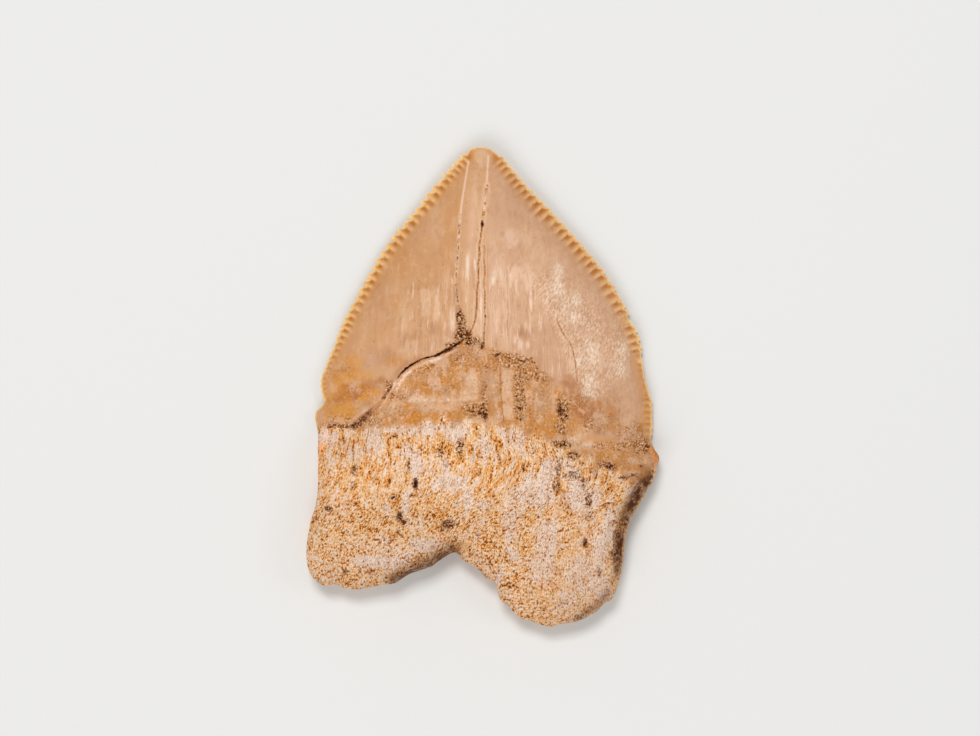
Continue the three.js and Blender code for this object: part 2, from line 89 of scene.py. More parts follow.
body = {  # heights from the flat back
    "spine": [(13.6, 1.0), (12.0, 1.45), (9.0, 2.15), (6.0, 2.7), (3.0, 3.1), (0.5, 3.4), (-2.0, 3.95),
              (-4.5, 4.6), (-7.0, 4.65), (-9.5, 4.2), (-12.0, 3.6), (-13.6, 3.2)],  # y, height
    "cuttingEdge": (0.62, 0.2),  # height, thickness
    "rootRim": (1.5, 0.4),
    "rootRounding": 1.7,
    "backRounding": 1.5,
    "crownFullness": 2.1,
    "rootFall": 0.2,
    "neckBlend": 2.6,
    "neckHollow": 0.14,
    "backHollow": 0.3,
    "pointLift": 0.3,
    "enamelStep": 0.15,
    "enamelEdge": [(-10.2, -2.35), (-7.5, -2.3), (-6.35, -1.4), (-5.4, -0.5), (-4.7, 0.7), (-3.6, 1.5),
                   (-2.5, 1.85), (-1.4, 2.45), (-0.7, 2.85), (0.1, 2.15), (1.7, 1.6), (3.1, 0.85),
                   (4.3, 0.05), (4.9, -1.2), (5.6, -3.0), (7.0, -3.75), (8.6, -3.35), (10.5, -3.45)],
    "sideHollow": [(9.2, -4.9), (8.45, -6.4), (7.75, -8.2), (7.35, -10.0)],
    "porousTop": [(-10.5, -2.4), (-7.0, -2.35), (-5.6, -2.1), (-4.4, -1.95), (-1.0, -1.85), (0.6, -2.1),
                  (2.2, -2.4), (3.6, -2.8), (5.2, -3.8), (6.6, -4.4), (8.2, -5.1), (9.2, -4.8), (10.5, -4.6)],
    "faceNet": 0.09,  # spacing of the vertices
    "backNet": 0.22,
    "fineReach": 0.22,  # how far from cracks the face net is made twice as fine
    "edgeReach": 0.95,
    "trim": 0.8,  # share of the spacing kept free inside the rim
    "rimRows": 4,
    "rimBulge": [0, 0.015, 0.025, 0.015, 0],  # of each row
    "bevel": (0.05, -0.45),  # at the crown, at the root
    "seamReach": (-7.4, -0.3),  # x range of the finer net along the enamel's lower edge
    "mergeDistance": 0.002,
}

seamEnd = {  # routes at the left end of the enamel's raised lower edge
    "lip": [(-1.45, 2.05), (-2.1, 1.72)],
    "thinLip": [(-4.75, 0.4), (-5.0, 0.0), (-5.4, -0.7), (-5.85, -1.35)],
    "gap": [(-5.1, 0.05), (-5.55, -0.65)],
    "roll": [(-5.5, -0.35), (-6.1, -0.85), (-6.7, -1.35), (-7.25, -1.95)],
    "fold": [(-6.0, -1.25), (-6.5, -1.6), (-6.95, -2.0), (-7.3, -2.3)],
}

wallShadeLines = [  # painted shade on stretches of the root's side that turn away from the light: route, half width, strength
    ([(-4.9, -10.85), (-3.0, -9.95), (-1.7, -9.25)], 0.5, 0.9),
    ([(7.0, -11.6), (6.2, -12.5), (5.4, -13.0)], 0.25, 0.6),
]

relief = {  # heights and depths of the small forms
    "enamelWaves": 0.012,
    "wrinkles": 0.012,
    "frostSheen": 0.012,
    "strip": 0.05,
    "seamLeft": 0.025,
    "seamRight": 0.02,
    "crackLips": 0.012,
    "beads": 0.03,
    "gap": 0.22,
    "gapEnd": 0.12,
    "fold": 0.2,
    "lip": 0.07,
    "roll": 0.1,
    "rootWaves": 0.02,
    "ribs": 0.03,
    "granules": 0.03,
    "soil": 0.04,
    "sand": 0.025,
    "sideHollow": 0.5,
    "notchHollow": 0.6,
}

leftLine = [(-1.28, 9.6), (-1.36, 8.0), (-1.42, 7.0), (-1.48, 6.0), (-1.42, 5.0), (-1.38, 4.6)]
rightLine = [(-0.02, 9.3), (-0.15, 8.0), (-0.23, 6.5), (-0.3, 5.2), (-0.4, 3.9), (-0.5, 3.4), (-0.85, 2.7)]
cracks = [  # route, half width, depth, darkness, how broken up, colour
    ([(0.26, 11.3), (0.12, 10.2), (0.02, 9.4)], 0.065, 0.02, 1.0, 0.8, "crackOrange"),
    (rightLine, 0.042, 0.035, 1.0, 0.1, "crackOrange"),
    (rightLine, 0.03, 0, 0.8, 1, "crackSoil"),
    ([(0.08, 7.9), (0.1, 5.5), (0.14, 4.5), (0.13, 3.5), (0.05, 2.2)], 0.035, 0.035, 0.95, 0.3, "crackOrange"),
    ([(0.1, 5.6), (0.14, 4.5), (0.13, 3.5), (0.05, 2.2)], 0.03, 0, 0.85, 1, "crackSoil"),
    (leftLine, 0.03, 0.04, 0.85, 1.0, "crackSoil"),
    ([(1.4, 6.6), (1.45, 4.4), (1.42, 3.0), (1.55, 2.0)], 0.03, 0.015, 0.5, 0.6, "crackOrange"),
    ([(2.87, 5.9), (2.86, 4.4)], 0.03, 0.015, 0.7, 0.4, "crackOrange"),
    ([(3.59, 2.7), (3.62, 0.9)], 0.03, 0.015, 0.5, 0.5, "crackOrange"),
    ([(4.65, 2.2), (4.7, 0.4)], 0.03, 0.015, 0.5, 0.5, "crackOrange"),
    ([(4.19, 3.76), (4.45, 3.1), (4.8, 2.6), (5.05, 2.1), (5.2, 1.4), (5.32, 0.3)], 0.04, 0.04, 0.95, 0.3,
     "crackOrange"),
    ([(1.0, 1.0), (1.04, -0.4), (1.18, -1.9)], 0.04, 0.03, 0.85, 0.3, "crackOrange"),
]
seam = [(-0.8, 12.7), (-1.0, 11.5), (-1.22, 10.0), (-1.3, 9.0)]  # healed crack, stands up
seamRight = [(0.32, 13.0), (0.24, 11.5), (0.1, 10.0)]

holes = [  # x, y, half width, half height, depth, darkness of the painted shade in the pit
    (-5.0, -6.15, 0.26, 0.12, 0.15, 0.7), (-4.62, -7.15, 0.22, 0.26, 0.18, 0.9), (-4.4, -7.5, 0.26, 0.14, 0.12, 0.9),
    (-4.7, -8.1, 0.12, 0.17, 0.1, 0.8), (-3.72, -5.4, 0.16, 0.42, 0.2, 0.95), (-3.8, -6.02, 0.2, 0.1, 0.1, 0.8),
    (-1.95, -7.65, 0.34, 0.3, 0.2, 0.6), (-2.2, -8.0, 0.14, 0.1, 0.1, 0.7), (-8.6, -6.8, 0.26, 0.16, 0.1, 0.6),
    (-7.1, -4.7, 0.2, 0.3, 0.08, 0.4), (-5.9, -5.15, 0.12, 0.1, 0.06, 0.6), (-7.65, -10.35, 0.18, 0.15, 0.12, 0.8),
    (0.15, -1.65, 0.16, 0.3, 0.15, 0.9), (-0.5, -1.4, 0.3, 0.3, 0.1, 0.3), (4.35, -1.35, 0.14, 0.42, 0.22, 0.95),
    (4.7, -1.65, 0.14, 0.16, 0.15, 0.8), (4.25, -5.8, 0.22, 0.22, 0.15, 0.6), (4.75, -6.65, 0.12, 0.14, 0.12, 0.8),
    (3.1, -7.22, 0.08, 0.13, 0.08, 0.8), (5.7, -8.7, 0.12, 0.24, 0.25, 1.0), (6.5, -10.3, 0.16, 0.3, 0.12, 0.6),
    (7.15, -4.45, 0.22, 0.2, 0.15, 0.8), (7.9, -5.12, 0.14, 0.12, 0.1, 0.9), (8.4, -4.95, 0.1, 0.08, 0.08, 0.8),
    (8.92, -4.5, 0.1, 0.07, 0.08, 0.8), (1.5, -11.2, 0.12, 0.1, 0.08, 0.8), (1.9, -11.2, 0.1, 0.09, 0.08, 0.8),
    (2.7, -11.48, 0.1, 0.12, 0.08, 0.7), (1.25, -11.55, 0.07, 0.08, 0.06, 0.7), (3.4, -12.5, 0.1, 0.09, 0.08, 0.8),
    (2.0, -12.45, 0.07, 0.07, 0.05, 0.6), (5.35, -12.3, 0.11, 0.1, 0.06, 0.5), (5.35, -8.1, 0.08, 0.13, 0.08, 0.7),
    (-0.37, 9.78, 0.06, 0.05, 0.04, 0.9), (0.0, 9.1, 0.08, 0.15, 0.1, 1.2), (2.83, 10.3, 0.04, 0.06, 0.03, 0.7),
    (7.1, 3.0, 0.05, 0.05, 0.03, 0.6), (5.05, 2.15, 0.05, 0.07, 0.04, 0.7), (0.82, 1.75, 0.2, 0.09, 0.1, 1.0),
    (0.0, 2.2, 0.08, 0.15, 0.1, 0.9), (-2.8, 1.2, 0.14, 0.06, 0.06, 0.9), (0.65, -6.0, 0.08, 0.08, 0.06, 0.7),
    (5.9, -7.15, 0.12, 0.1, 0.08, 0.8), (7.6, -8.25, 0.2, 0.3, 0.12, 0.6), (7.3, -9.35, 0.16, 0.25, 0.1, 0.6),
    (6.85, -7.15, 0.08, 0.1, 0.06, 0.7), (1.55, -5.3, 0.35, 0.16, 0.08, 0.25), (1.9, -5.15, 0.1, 0.08, 0.06, 0.8),
]

soilPatches = [  # x, y, half width, half height, amount of soil grains left in hollows
    (-1.32, 3.9, 0.14, 0.75, 1), (-1.1, 3.5, 0.16, 0.5, 0.8), (-1.3, 2.8, 0.3, 0.3, 1), (-0.85, 2.85, 0.25, 0.4, 1),
    (-1.75, 2.3, 0.45, 0.18, 1), (-0.3, 2.6, 0.25, 0.2, 0.7), (-0.6, 2.5, 0.35, 0.25, 1), (0.0, 2.25, 0.16, 0.2, 1),
    (0.8, 1.8, 0.45, 0.12, 1), (1.5, 1.55, 0.5, 0.16, 0.5), (2.1, 1.35, 0.3, 0.3, 0.6), (2.05, 0.5, 0.18, 0.5, 0.5),
    (2.5, 0.35, 0.4, 0.16, 0.5), (1.98, -0.7, 0.16, 0.8, 0.5), (2.1, -1.2, 0.2, 0.2, 0.7),
    (2.1, -1.8, 0.15, 0.4, 0.5), (3.2, 0.5, 0.5, 0.2, 0.3), (-0.5, -1.4, 0.5, 0.35, 0.5),
    (0.1, -1.5, 0.25, 0.5, 0.75), (0.05, -0.3, 0.12, 0.6, 0.5), (4.4, -1.35, 0.3, 0.55, 0.75),
    (4.3, -2.4, 0.15, 0.3, 0.6), (4.4, -3.25, 0.6, 0.22, 1), (5.1, -3.85, 0.45, 0.22, 1), (3.9, -3.1, 0.3, 0.2, 0.6),
    (2.8, -3.5, 0.15, 0.4, 0.6), (6.7, -4.4, 0.35, 0.22, 0.9), (7.15, -4.5, 0.3, 0.25, 1), (7.9, -5.1, 0.3, 0.18, 1),
    (8.4, -5.0, 0.3, 0.12, 0.8), (5.55, -5.3, 0.12, 0.35, 0.9), (5.85, -6.4, 0.2, 0.5, 0.9),
    (5.9, -7.2, 0.25, 0.3, 0.7), (4.1, -5.4, 0.25, 0.5, 0.9), (4.9, -5.0, 0.5, 0.25, 0.6),
    (3.6, -5.0, 0.25, 0.25, 0.6), (-0.6, -3.5, 1.6, 0.9, 0.2), (4.9, -4.3, 1.0, 0.6, 0.33),
    (5.6, -5.6, 0.6, 0.8, 0.3), (4.2, -4.5, 0.15, 0.5, 0.5), (6.9, -6.6, 0.25, 0.5, 0.5), (2.3, -4.5, 0.14, 0.3, 0.7),
    (0.9, -3.9, 0.1, 0.25, 0.7), (-1.25, -3.3, 0.2, 0.6, 1), (-2.35, -3.6, 0.18, 0.4, 0.8),
    (-2.1, -4.4, 0.15, 0.4, 0.6), (-4.1, -4.4, 0.12, 0.5, 0.9), (-4.25, -5.2, 0.1, 0.3, 0.8),
    (-3.7, -5.4, 0.2, 0.4, 0.8), (-5.6, -2.7, 0.1, 0.25, 0.7), (-4.9, -2.7, 0.2, 0.25, 0.5),
    (-7.15, -4.7, 0.25, 0.35, 0.9), (-7.2, -5.5, 0.15, 0.4, 0.7), (-8.1, -5.3, 0.14, 0.14, 0.9),
    (-8.6, -6.8, 0.3, 0.2, 0.8), (-7.7, -3.2, 0.4, 0.2, 0.5), (-7.6, -2.25, 0.9, 0.14, 0.9),
    (-8.6, -2.25, 0.5, 0.16, 0.7), (-6.8, -2.0, 0.3, 0.2, 0.8), (-4.6, -7.2, 0.3, 0.3, 0.6),
    (-1.9, -7.65, 0.4, 0.35, 1), (-1.7, -9.0, 0.25, 0.15, 0.8), (-2.6, -9.4, 0.5, 0.25, 0.5),
    (-7.65, -10.35, 0.22, 0.16, 0.8), (-8.3, -10.95, 0.25, 0.14, 0.6), (-6.2, -10.4, 0.25, 0.2, 0.5),
    (7.5, -8.6, 0.3, 0.7, 0.8), (7.3, -9.5, 0.25, 0.4, 0.8), (8.3, -6.9, 0.35, 0.5, 0.5), (9.3, -5.1, 0.3, 0.25, 0.5),
    (6.5, -10.4, 0.25, 0.3, 0.6), (5.3, -12.9, 0.3, 0.15, 0.6), (4.5, -13.1, 0.5, 0.15, 0.5),
    (9.3, -3.4, 0.25, 0.4, 0.8),
]

whitePatches = [  # x, y, half width, half height, amount, negative for the more open, orange bone
    (-8.7, -2.85, 0.6, 0.4, 0.8), (-6.1, -2.9, 0.5, 0.9, 0.7), (-4.2, -3.6, 0.5, 0.45, 0.9),
    (-3.6, -2.35, 1.4, 0.35, 1.4), (-1.5, -2.5, 0.6, 0.6, 1.2), (-2.0, -4.7, 0.22, 0.6, 0.9),
    (-3.6, -4.4, 0.3, 0.8, 0.8), (-1.7, -5.4, 0.9, 0.4, 1.0), (-0.85, -6.3, 0.22, 0.7, 0.9),
    (-4.25, -6.3, 0.2, 0.8, 0.8), (-5.35, -7.0, 0.25, 0.5, 0.9), (-3.3, -8.8, 0.9, 0.45, 1.1),
    (-4.1, -9.3, 0.4, 0.25, 0.9), (-5.8, -9.75, 1.3, 0.35, 1.2), (-5.5, -8.5, 0.5, 0.25, 0.7),
    (-8.6, -4.5, 0.4, 1.6, 0.15), (1.9, -2.8, 0.9, 0.6, 0.5), (0.1, -3.4, 0.5, 0.7, 0.6), (3.7, -4.5, 0.6, 0.5, 0.9),
    (2.9, -5.8, 1.4, 0.9, 0.9), (5.2, -5.9, 0.4, 1.0, 1.0), (6.3, -6.2, 0.3, 0.5, 1.0), (1.7, -7.2, 0.9, 0.5, 0.6),
    (3.6, -8.5, 0.5, 1.1, 0.9), (1.7, -9.4, 0.3, 0.4, 0.8), (1.5, -8.2, 0.25, 0.6, 0.6), (3.2, -10.2, 0.8, 0.9, 0.7),
    (5.6, -10.7, 0.7, 1.1, 0.8), (6.5, -9.2, 0.4, 1.2, 0.9), (6.6, -11.2, 0.5, 0.6, 1.0), (7.1, -7.6, 0.3, 1.2, 0.9),
    (8.3, -5.7, 0.6, 0.4, 0.7), (4.7, -12.0, 0.5, 0.5, 0.8), (0.9, -10.7, 0.3, 0.5, 0.6), (-0.2, -8.4, 0.4, 0.3, 0.6),
    (5.6, -3.2, 0.6, 0.3, 1.2), (6.4, -4.8, 0.3, 0.25, 0.8), (0.2, -6.6, 0.5, 0.4, 0.6), (4.8, -8.6, 2.0, 3.6, 0.15),
    (5.6, -6.2, 1.2, 1.0, 0.3), (-7.5, -3.8, 0.9, 0.6, 0.25), (-6.5, -7.7, 1.7, 0.8, -0.9),
    (-2.5, -6.8, 1.2, 0.5, -0.9), (-1.0, -3.9, 0.3, 0.9, -0.7), (-2.8, -8.1, 0.6, 0.4, -0.8),
    (-1.0, -8.6, 0.6, 0.8, -0.6), (0.5, -8.6, 0.6, 0.8, -0.9), (1.1, -5.2, 0.9, 0.35, -1.2),
    (0.6, -7.2, 0.5, 0.4, -0.8), (2.4, -8.6, 0.5, 0.5, -0.7), (2.4, -7.4, 0.6, 0.35, -0.5),
    (4.4, -9.5, 0.4, 0.4, -0.6), (4.2, -5.6, 0.25, 0.45, -1.1), (6.7, -6.7, 0.4, 0.5, -0.6),
    (7.2, -5.4, 0.6, 0.5, -0.7), (5.1, -8.1, 0.4, 0.6, -0.5), (2.0, -10.5, 0.9, 0.6, -0.5),
    (3.5, -11.6, 0.6, 0.5, -0.4), (-5.0, -5.3, 1.0, 0.5, -0.5), (2.6, -4.4, 0.5, 0.3, -0.9),
    (3.3, -2.6, 0.9, 0.5, -0.6),
]

stainPatches = [  # x, y, half width, half height, amount of staining on the enamel
    (6.8, -1.8, 2.0, 1.1, 0.9), (5.3, -0.9, 0.7, 0.9, 0.8), (8.3, -2.6, 0.9, 0.8, 0.9), (-7.6, -0.2, 1.3, 1.2, 0.9),
    (-8.0, -1.4, 1.2, 0.6, 1), (-6.2, -0.6, 0.8, 0.6, 0.8), (-7.9, 0.9, 0.8, 0.8, 0.7),
]

sandyPatches = [  # x, y, half width, half height, amount of loose grains stuck on
    (0.6, 1.85, 0.6, 0.3, 0.7), (1.6, 1.5, 0.7, 0.4, 0.8), (2.5, 1.2, 0.6, 0.5, 0.8), (3.1, 0.55, 0.8, 0.35, 0.7),
    (-0.7, 2.1, 0.7, 0.5, 0.4), (-0.95, 2.75, 0.4, 0.4, 0.9), (-1.3, 3.7, 0.18, 0.7, 0.8), (-1.5, 1.6, 0.6, 0.4, 0.5),
    (0.5, 1.1, 0.8, 0.3, 0.6), (2.05, 0.1, 0.35, 0.7, 0.9), (2.05, -1.0, 0.35, 0.9, 0.9), (-0.4, -1.3, 0.7, 0.6, 0.8),
    (0.1, -0.5, 0.25, 0.8, 0.5), (-3.2, 1.0, 1.0, 0.22, 0.7), (-4.6, -0.6, 0.5, 0.3, 0.5),
    (-4.8, -1.6, 0.7, 0.3, 0.5), (3.2, -0.3, 0.4, 0.3, 0.5), (4.5, -1.2, 0.4, 0.8, 0.8), (4.3, -2.4, 0.4, 0.6, 0.7),
    (5.4, -0.8, 0.6, 0.4, 0.5), (6.4, -1.9, 1.2, 0.5, 0.4), (8.1, -2.6, 0.9, 0.6, 0.5), (7.2, -3.4, 1.6, 0.35, 0.6),
    (8.9, -3.3, 0.5, 0.5, 0.9), (5.9, -2.5, 0.4, 0.4, 0.5), (-8.2, -1.9, 1.1, 0.3, 0.6), (-5.3, -0.2, 0.35, 0.6, 0.8),
    (-6.2, -1.9, 0.6, 0.4, 0.8),
]

panels = [  # straight-sided patches of the neck: top x, y, bottom x, y, half width at each, colour, strength
    (-0.3, 2.4, -0.35, 1.0, 0.06, 0.1, "neckPale", 0.6), (-0.95, 2.2, -1.1, 1.2, 0.05, 0.08, "neckPale", 0.4),
    (-0.53, 0.95, -0.8, -0.75, 0.28, 0.6, "neckPale", 0.95),
    (-1.35, 0.95, -1.75, -0.7, 0.14, 0.28, "neckOrange", 0.8), (0.4, 0.9, 0.35, -0.9, 0.5, 0.5, "neckGrey", 0.8),
    (1.33, 0.95, 1.42, -1.85, 0.26, 0.38, "neckPale", 0.75), (0.75, -0.8, 0.85, -1.7, 0.12, 0.12, "neckPale", 0.8),
    (0.45, -0.9, 0.5, -1.9, 0.12, 0.12, "neckOrange", 0.7), (2.62, 0.1, 2.65, -1.8, 0.22, 0.2, "neckOrange", 0.6),
    (3.35, -0.1, 3.3, -1.8, 0.45, 0.6, "neckGrey", 0.75), (3.9, 0.0, 3.95, -1.5, 0.1, 0.14, "neckPale", 0.6),
    (2.95, -0.3, 2.95, -1.6, 0.06, 0.08, "neckPale", 0.6), (-2.9, -0.62, -2.9, -0.85, 1.1, 1.3, "boneWhite", 0.7),
    (-2.7, -1.1, -2.8, -1.3, 1.3, 1.5, "neckPale", 0.7), (-4.2, -1.42, -4.2, -1.8, 0.6, 0.75, "neckOrange", 0.8),
    (-2.4, -1.5, -2.4, -1.8, 0.8, 0.8, "neckOrange", 0.8), (4.3, -0.15, 4.72, -0.95, 0.1, 0.1, "boneWhite", 0.8),
    (2.1, 0.45, 2.85, 0.42, 0.1, 0.1, "boneWhite", 0.7),
]

frostPatches = [  # x, y, half width, half height, amount of crinkling of the enamel and of the painted sheen on it
    (5.6, 2.4, 1.6, 2.6, 1.0), (7.7, 1.6, 0.6, 1.8, 0.6), (5.9, -0.2, 0.8, 0.6, 0.8), (3.9, 4.9, 1.0, 1.3, 0.6),
    (3.0, 6.2, 1.5, 1.8, 0.4),
]

glints = [  # x, y, half width, half height of the painted glints on the brightest crinkles of the enamel
    (6.1, 2.0, 0.35, 0.6), (6.5, 1.4, 0.3, 0.35), (6.0, 0.3, 0.35, 0.45), (4.2, 5.6, 0.3, 0.6), (4.6, 4.6, 0.35, 0.4),
    (5.1, 3.8, 0.4, 0.3), (7.9, 2.1, 0.3, 0.5), (7.7, 1.0, 0.5, 0.4), (5.2, 4.9, 0.3, 0.4), (4.3, 6.6, 0.3, 0.5),
    (5.9, -0.3, 0.35, 0.3), (5.4, 1.4, 0.3, 0.5),
]

strokes = [  # soft patches of colour: x, y, half width, half height, colour, strength. The frost-coloured and glint strokes are painted highlights, and the wide pale patch at 2.9, 5.6 is painted sheen
    (-4.4, 3.8, 0.16, 0.7, "enamelPale", 0.6), (-3.3, 4.6, 0.14, 0.9, "enamelPale", 0.9),
    (-3.05, 4.5, 0.1, 0.8, "enamelPale", 0.6), (-2.56, 4.4, 0.16, 0.9, "enamelPale", 0.8),
    (-1.65, 3.8, 0.12, 0.9, "boneWhite", 0.6), (-2.7, 3.2, 0.3, 0.4, "enamelBrown", 0.6),
    (-3.7, 2.9, 0.25, 0.35, "enamelBrown", 0.55), (-4.4, 2.6, 0.3, 0.4, "enamelBrown", 0.5),
    (-1.75, 2.9, 0.3, 0.35, "enamelBrown", 0.4), (-5.3, 3.4, 0.25, 0.3, "enamelAmber", 0.4),
    (-4.9, 4.6, 0.2, 0.5, "enamelAmber", 0.4), (-2.0, 5.6, 0.2, 0.9, "enamelPale", 0.3),
    (-2.2, 2.5, 0.7, 0.25, "enamelPink", 0.6), (-3.6, 2.1, 0.9, 0.22, "enamelPink", 0.5),
    (-5.6, 1.6, 1.0, 0.5, "enamelBrown", 0.5), (-4.9, 1.4, 0.5, 0.3, "neckOrange", 0.5),
    (-6.4, 1.5, 0.7, 0.5, "enamelPink", 0.7), (-7.3, 1.4, 0.6, 0.4, "cornerYellow", 0.6),
    (-7.85, 0.9, 0.2, 0.25, "cornerBrown", 0.8), (-8.1, 0.0, 0.6, 1.0, "cornerYellow", 0.7),
    (-7.0, 0.6, 0.9, 0.35, "cornerYellow", 0.55), (-7.3, -0.45, 0.9, 0.5, "cornerBrown", 0.85),
    (-6.3, 0.0, 0.6, 0.35, "cornerBrown", 0.5), (-8.1, -0.75, 0.5, 0.4, "cornerBrown", 0.6),
    (-5.75, 0.35, 0.3, 0.2, "cornerBrown", 0.6), (-7.0, -0.25, 0.15, 0.15, "neckPale", 0.6),
    (-6.05, -0.35, 0.5, 0.16, "cornerOrange", 0.95), (-6.6, -0.75, 0.4, 0.16, "cornerOrange", 0.9),
    (-8.2, -1.5, 0.9, 0.5, "cornerYellow", 0.9), (-7.5, -1.3, 0.5, 0.5, "cornerYellow", 0.7),
    (-8.5, -0.6, 0.16, 0.5, "cornerOrange", 0.5), (-8.0, -1.95, 0.5, 0.12, "neckPale", 0.7),
    (-7.6, -1.7, 0.15, 0.12, "cornerOrange", 0.8), (-9.15, -1.5, 0.22, 0.5, "enamelPink", 0.8),
    (-8.75, 0.7, 0.16, 1.2, "enamelPink", 0.7), (-6.2, -1.1, 0.5, 0.3, "neckGrey", 0.8),
    (-6.7, -1.4, 0.3, 0.2, "neckPale", 0.6), (-6.0, 5.2, 0.5, 1.0, "enamelBrown", 0.3),
    (-1.9, 8.3, 0.5, 3.0, "enamelAmber", 0.35), (-4.7, 7.3, 0.7, 1.2, "enamelAmber", 0.4),
    (-2.6, 9.3, 0.4, 1.2, "enamelPale", 0.25), (-0.85, 6.9, 0.1, 0.6, "glint", 1.0),
    (-0.42, 6.8, 0.07, 0.35, "glint", 0.9), (-0.83, 6.2, 0.07, 0.4, "glint", 0.6),
    (-0.1, 4.6, 0.06, 1.8, "frostSheen", 0.6), (0.6, 6.0, 0.13, 0.4, "glint", 0.7), (0.9, 6.3, 0.13, 0.3, "glint", 0.5),
    (1.9, 6.2, 0.35, 0.5, "frostSheen", 0.5), (2.6, 6.0, 0.25, 0.9, "frostSheen", 0.5), (1.0, 5.2, 0.5, 2.2, "enamelPale", 0.5),
    (2.9, 5.6, 1.3, 2.2, "enamelPale", 0.5), (-0.8, 5.5, 0.45, 2.6, "enamel", 0.5),
    (1.55, 5.9, 0.07, 0.5, "frostSheen", 0.5), (0.75, 3.6, 0.08, 0.5, "frostSheen", 0.4), (2.7, 4.8, 0.1, 0.5, "frostSheen", 0.7),
    (2.55, 5.5, 0.06, 0.3, "frostSheen", 0.5), (1.8, 2.6, 0.1, 0.3, "frostSheen", 0.5),
    (2.3, 3.0, 0.5, 0.35, "enamelBrown", 0.6), (1.2, 3.3, 0.3, 0.3, "enamelBrown", 0.35),
    (2.1, 2.3, 0.13, 0.35, "frostSheen", 0.6), (2.55, 2.3, 0.1, 0.25, "frostSheen", 0.6),
    (1.3, 2.3, 0.3, 0.4, "enamelPale", 0.5), (2.5, 8.5, 0.5, 0.6, "enamelPale", 0.5),
    (1.6, 8.3, 0.4, 0.5, "frostSheen", 0.3), (3.5, 7.6, 0.8, 0.6, "enamelPale", 0.3),
    (6.25, 1.75, 0.45, 0.7, "frostSheen", 0.5), (6.0, 0.2, 0.4, 0.5, "frostSheen", 0.35), (4.3, 5.7, 0.35, 0.8, "frostSheen", 0.35),
    (7.9, 1.6, 0.35, 0.7, "frostSheen", 0.25), (5.0, 4.0, 0.5, 0.4, "frostSheen", 0.25),
    (6.4, 4.6, 1.2, 1.5, "enamelPink", 0.8), (7.2, 1.0, 0.5, 1.4, "enamelPink", 0.6),
    (5.8, -0.4, 0.2, 0.2, "boneWhite", 0.6), (5.2, 4.8, 0.3, 0.5, "enamelPale", 0.4),
    (5.1, -0.4, 0.6, 1.0, "stainBrown", 0.65), (5.8, -1.4, 0.9, 0.8, "stainBrown", 0.85),
    (4.9, 0.3, 0.6, 0.4, "stainBrown", 0.35), (6.5, -0.9, 0.5, 0.3, "neckOrange", 0.4),
    (7.4, -0.6, 1.0, 0.5, "neckGrey", 0.7), (6.3, -0.3, 0.5, 0.4, "enamelPink", 0.7),
    (7.3, -2.0, 1.0, 0.6, "stainBrown", 0.55), (8.3, -1.6, 0.6, 0.9, "neckPale", 0.3),
    (6.7, -1.2, 0.7, 0.5, "stainBrown", 0.4), (6.65, -2.45, 0.42, 0.3, "neckBrown", 0.8),
    (6.5, -1.75, 0.35, 0.25, "neckPale", 0.5), (5.15, -2.5, 0.5, 0.6, "cornerYellow", 0.6),
    (5.1, -2.7, 0.35, 0.5, "neckPale", 0.8), (6.9, -3.1, 0.5, 0.2, "cornerYellow", 0.6),
    (7.9, -2.8, 0.5, 0.3, "neckGrey", 0.7), (6.1, -3.0, 0.4, 0.25, "cornerOrange", 0.5),
    (5.15, -2.85, 0.35, 0.25, "boneWhite", 0.7), (5.8, -3.3, 0.45, 0.2, "boneWhite", 0.6),
    (8.9, -2.7, 0.35, 0.5, "stainBrown", 0.8), (9.2, -2.0, 0.2, 0.8, "cornerOrange", 0.6),
    (7.0, -3.5, 0.8, 0.16, "neckOrange", 0.6), (8.6, -4.1, 0.9, 0.35, "neckGrey", 0.5),
    (9.4, -4.0, 0.3, 0.4, "neckPale", 0.6), (7.2, -3.9, 0.9, 0.25, "neckOrange", 0.5),
    (-2.4, 0.1, 0.3, 0.35, "neckPale", 0.5), (-4.9, -1.1, 0.6, 0.5, "neckPale", 0.6),
    (-3.0, 0.5, 0.5, 0.3, "neckGrey", 0.5), (-2.1, 0.4, 0.3, 0.3, "neckOrange", 0.6),
    (-3.5, 0.2, 0.7, 0.3, "neckOrange", 0.5), (-2.7, -0.5, 0.6, 0.25, "neckOrange", 0.5),
    (-4.5, -0.6, 0.25, 0.2, "neckBrown", 0.8), (-3.6, -0.7, 0.6, 0.25, "neckPale", 0.5),
    (-0.7, 1.9, 0.9, 0.6, "neckGrey", 0.7), (-1.9, 1.2, 0.6, 0.4, "neckBrown", 0.5),
    (1.2, 1.3, 1.4, 0.4, "neckBrown", 0.75), (-1.3, -1.25, 0.5, 0.35, "neckOrange", 0.7),
    (2.5, 0.8, 0.7, 0.5, "neckBrown", 0.7), (3.6, 0.3, 0.6, 0.25, "neckBrown", 0.6),
    (4.4, -0.5, 0.2, 0.3, "neckOrange", 0.6), (-5.15, 0.0, 0.3, 0.45, "neckBrown", 0.6),
    (3.3, -2.0, 0.9, 0.5, "neckOrange", 0.6), (1.0, -2.2, 1.4, 0.3, "neckOrange", 0.4),
    (4.9, -2.2, 0.4, 0.6, "neck", 0.7), (-6.3, -2.0, 0.6, 0.35, "neckPale", 0.6),
    (0.0, 12.9, 0.7, 0.4, "enamelPale", 0.6),
]

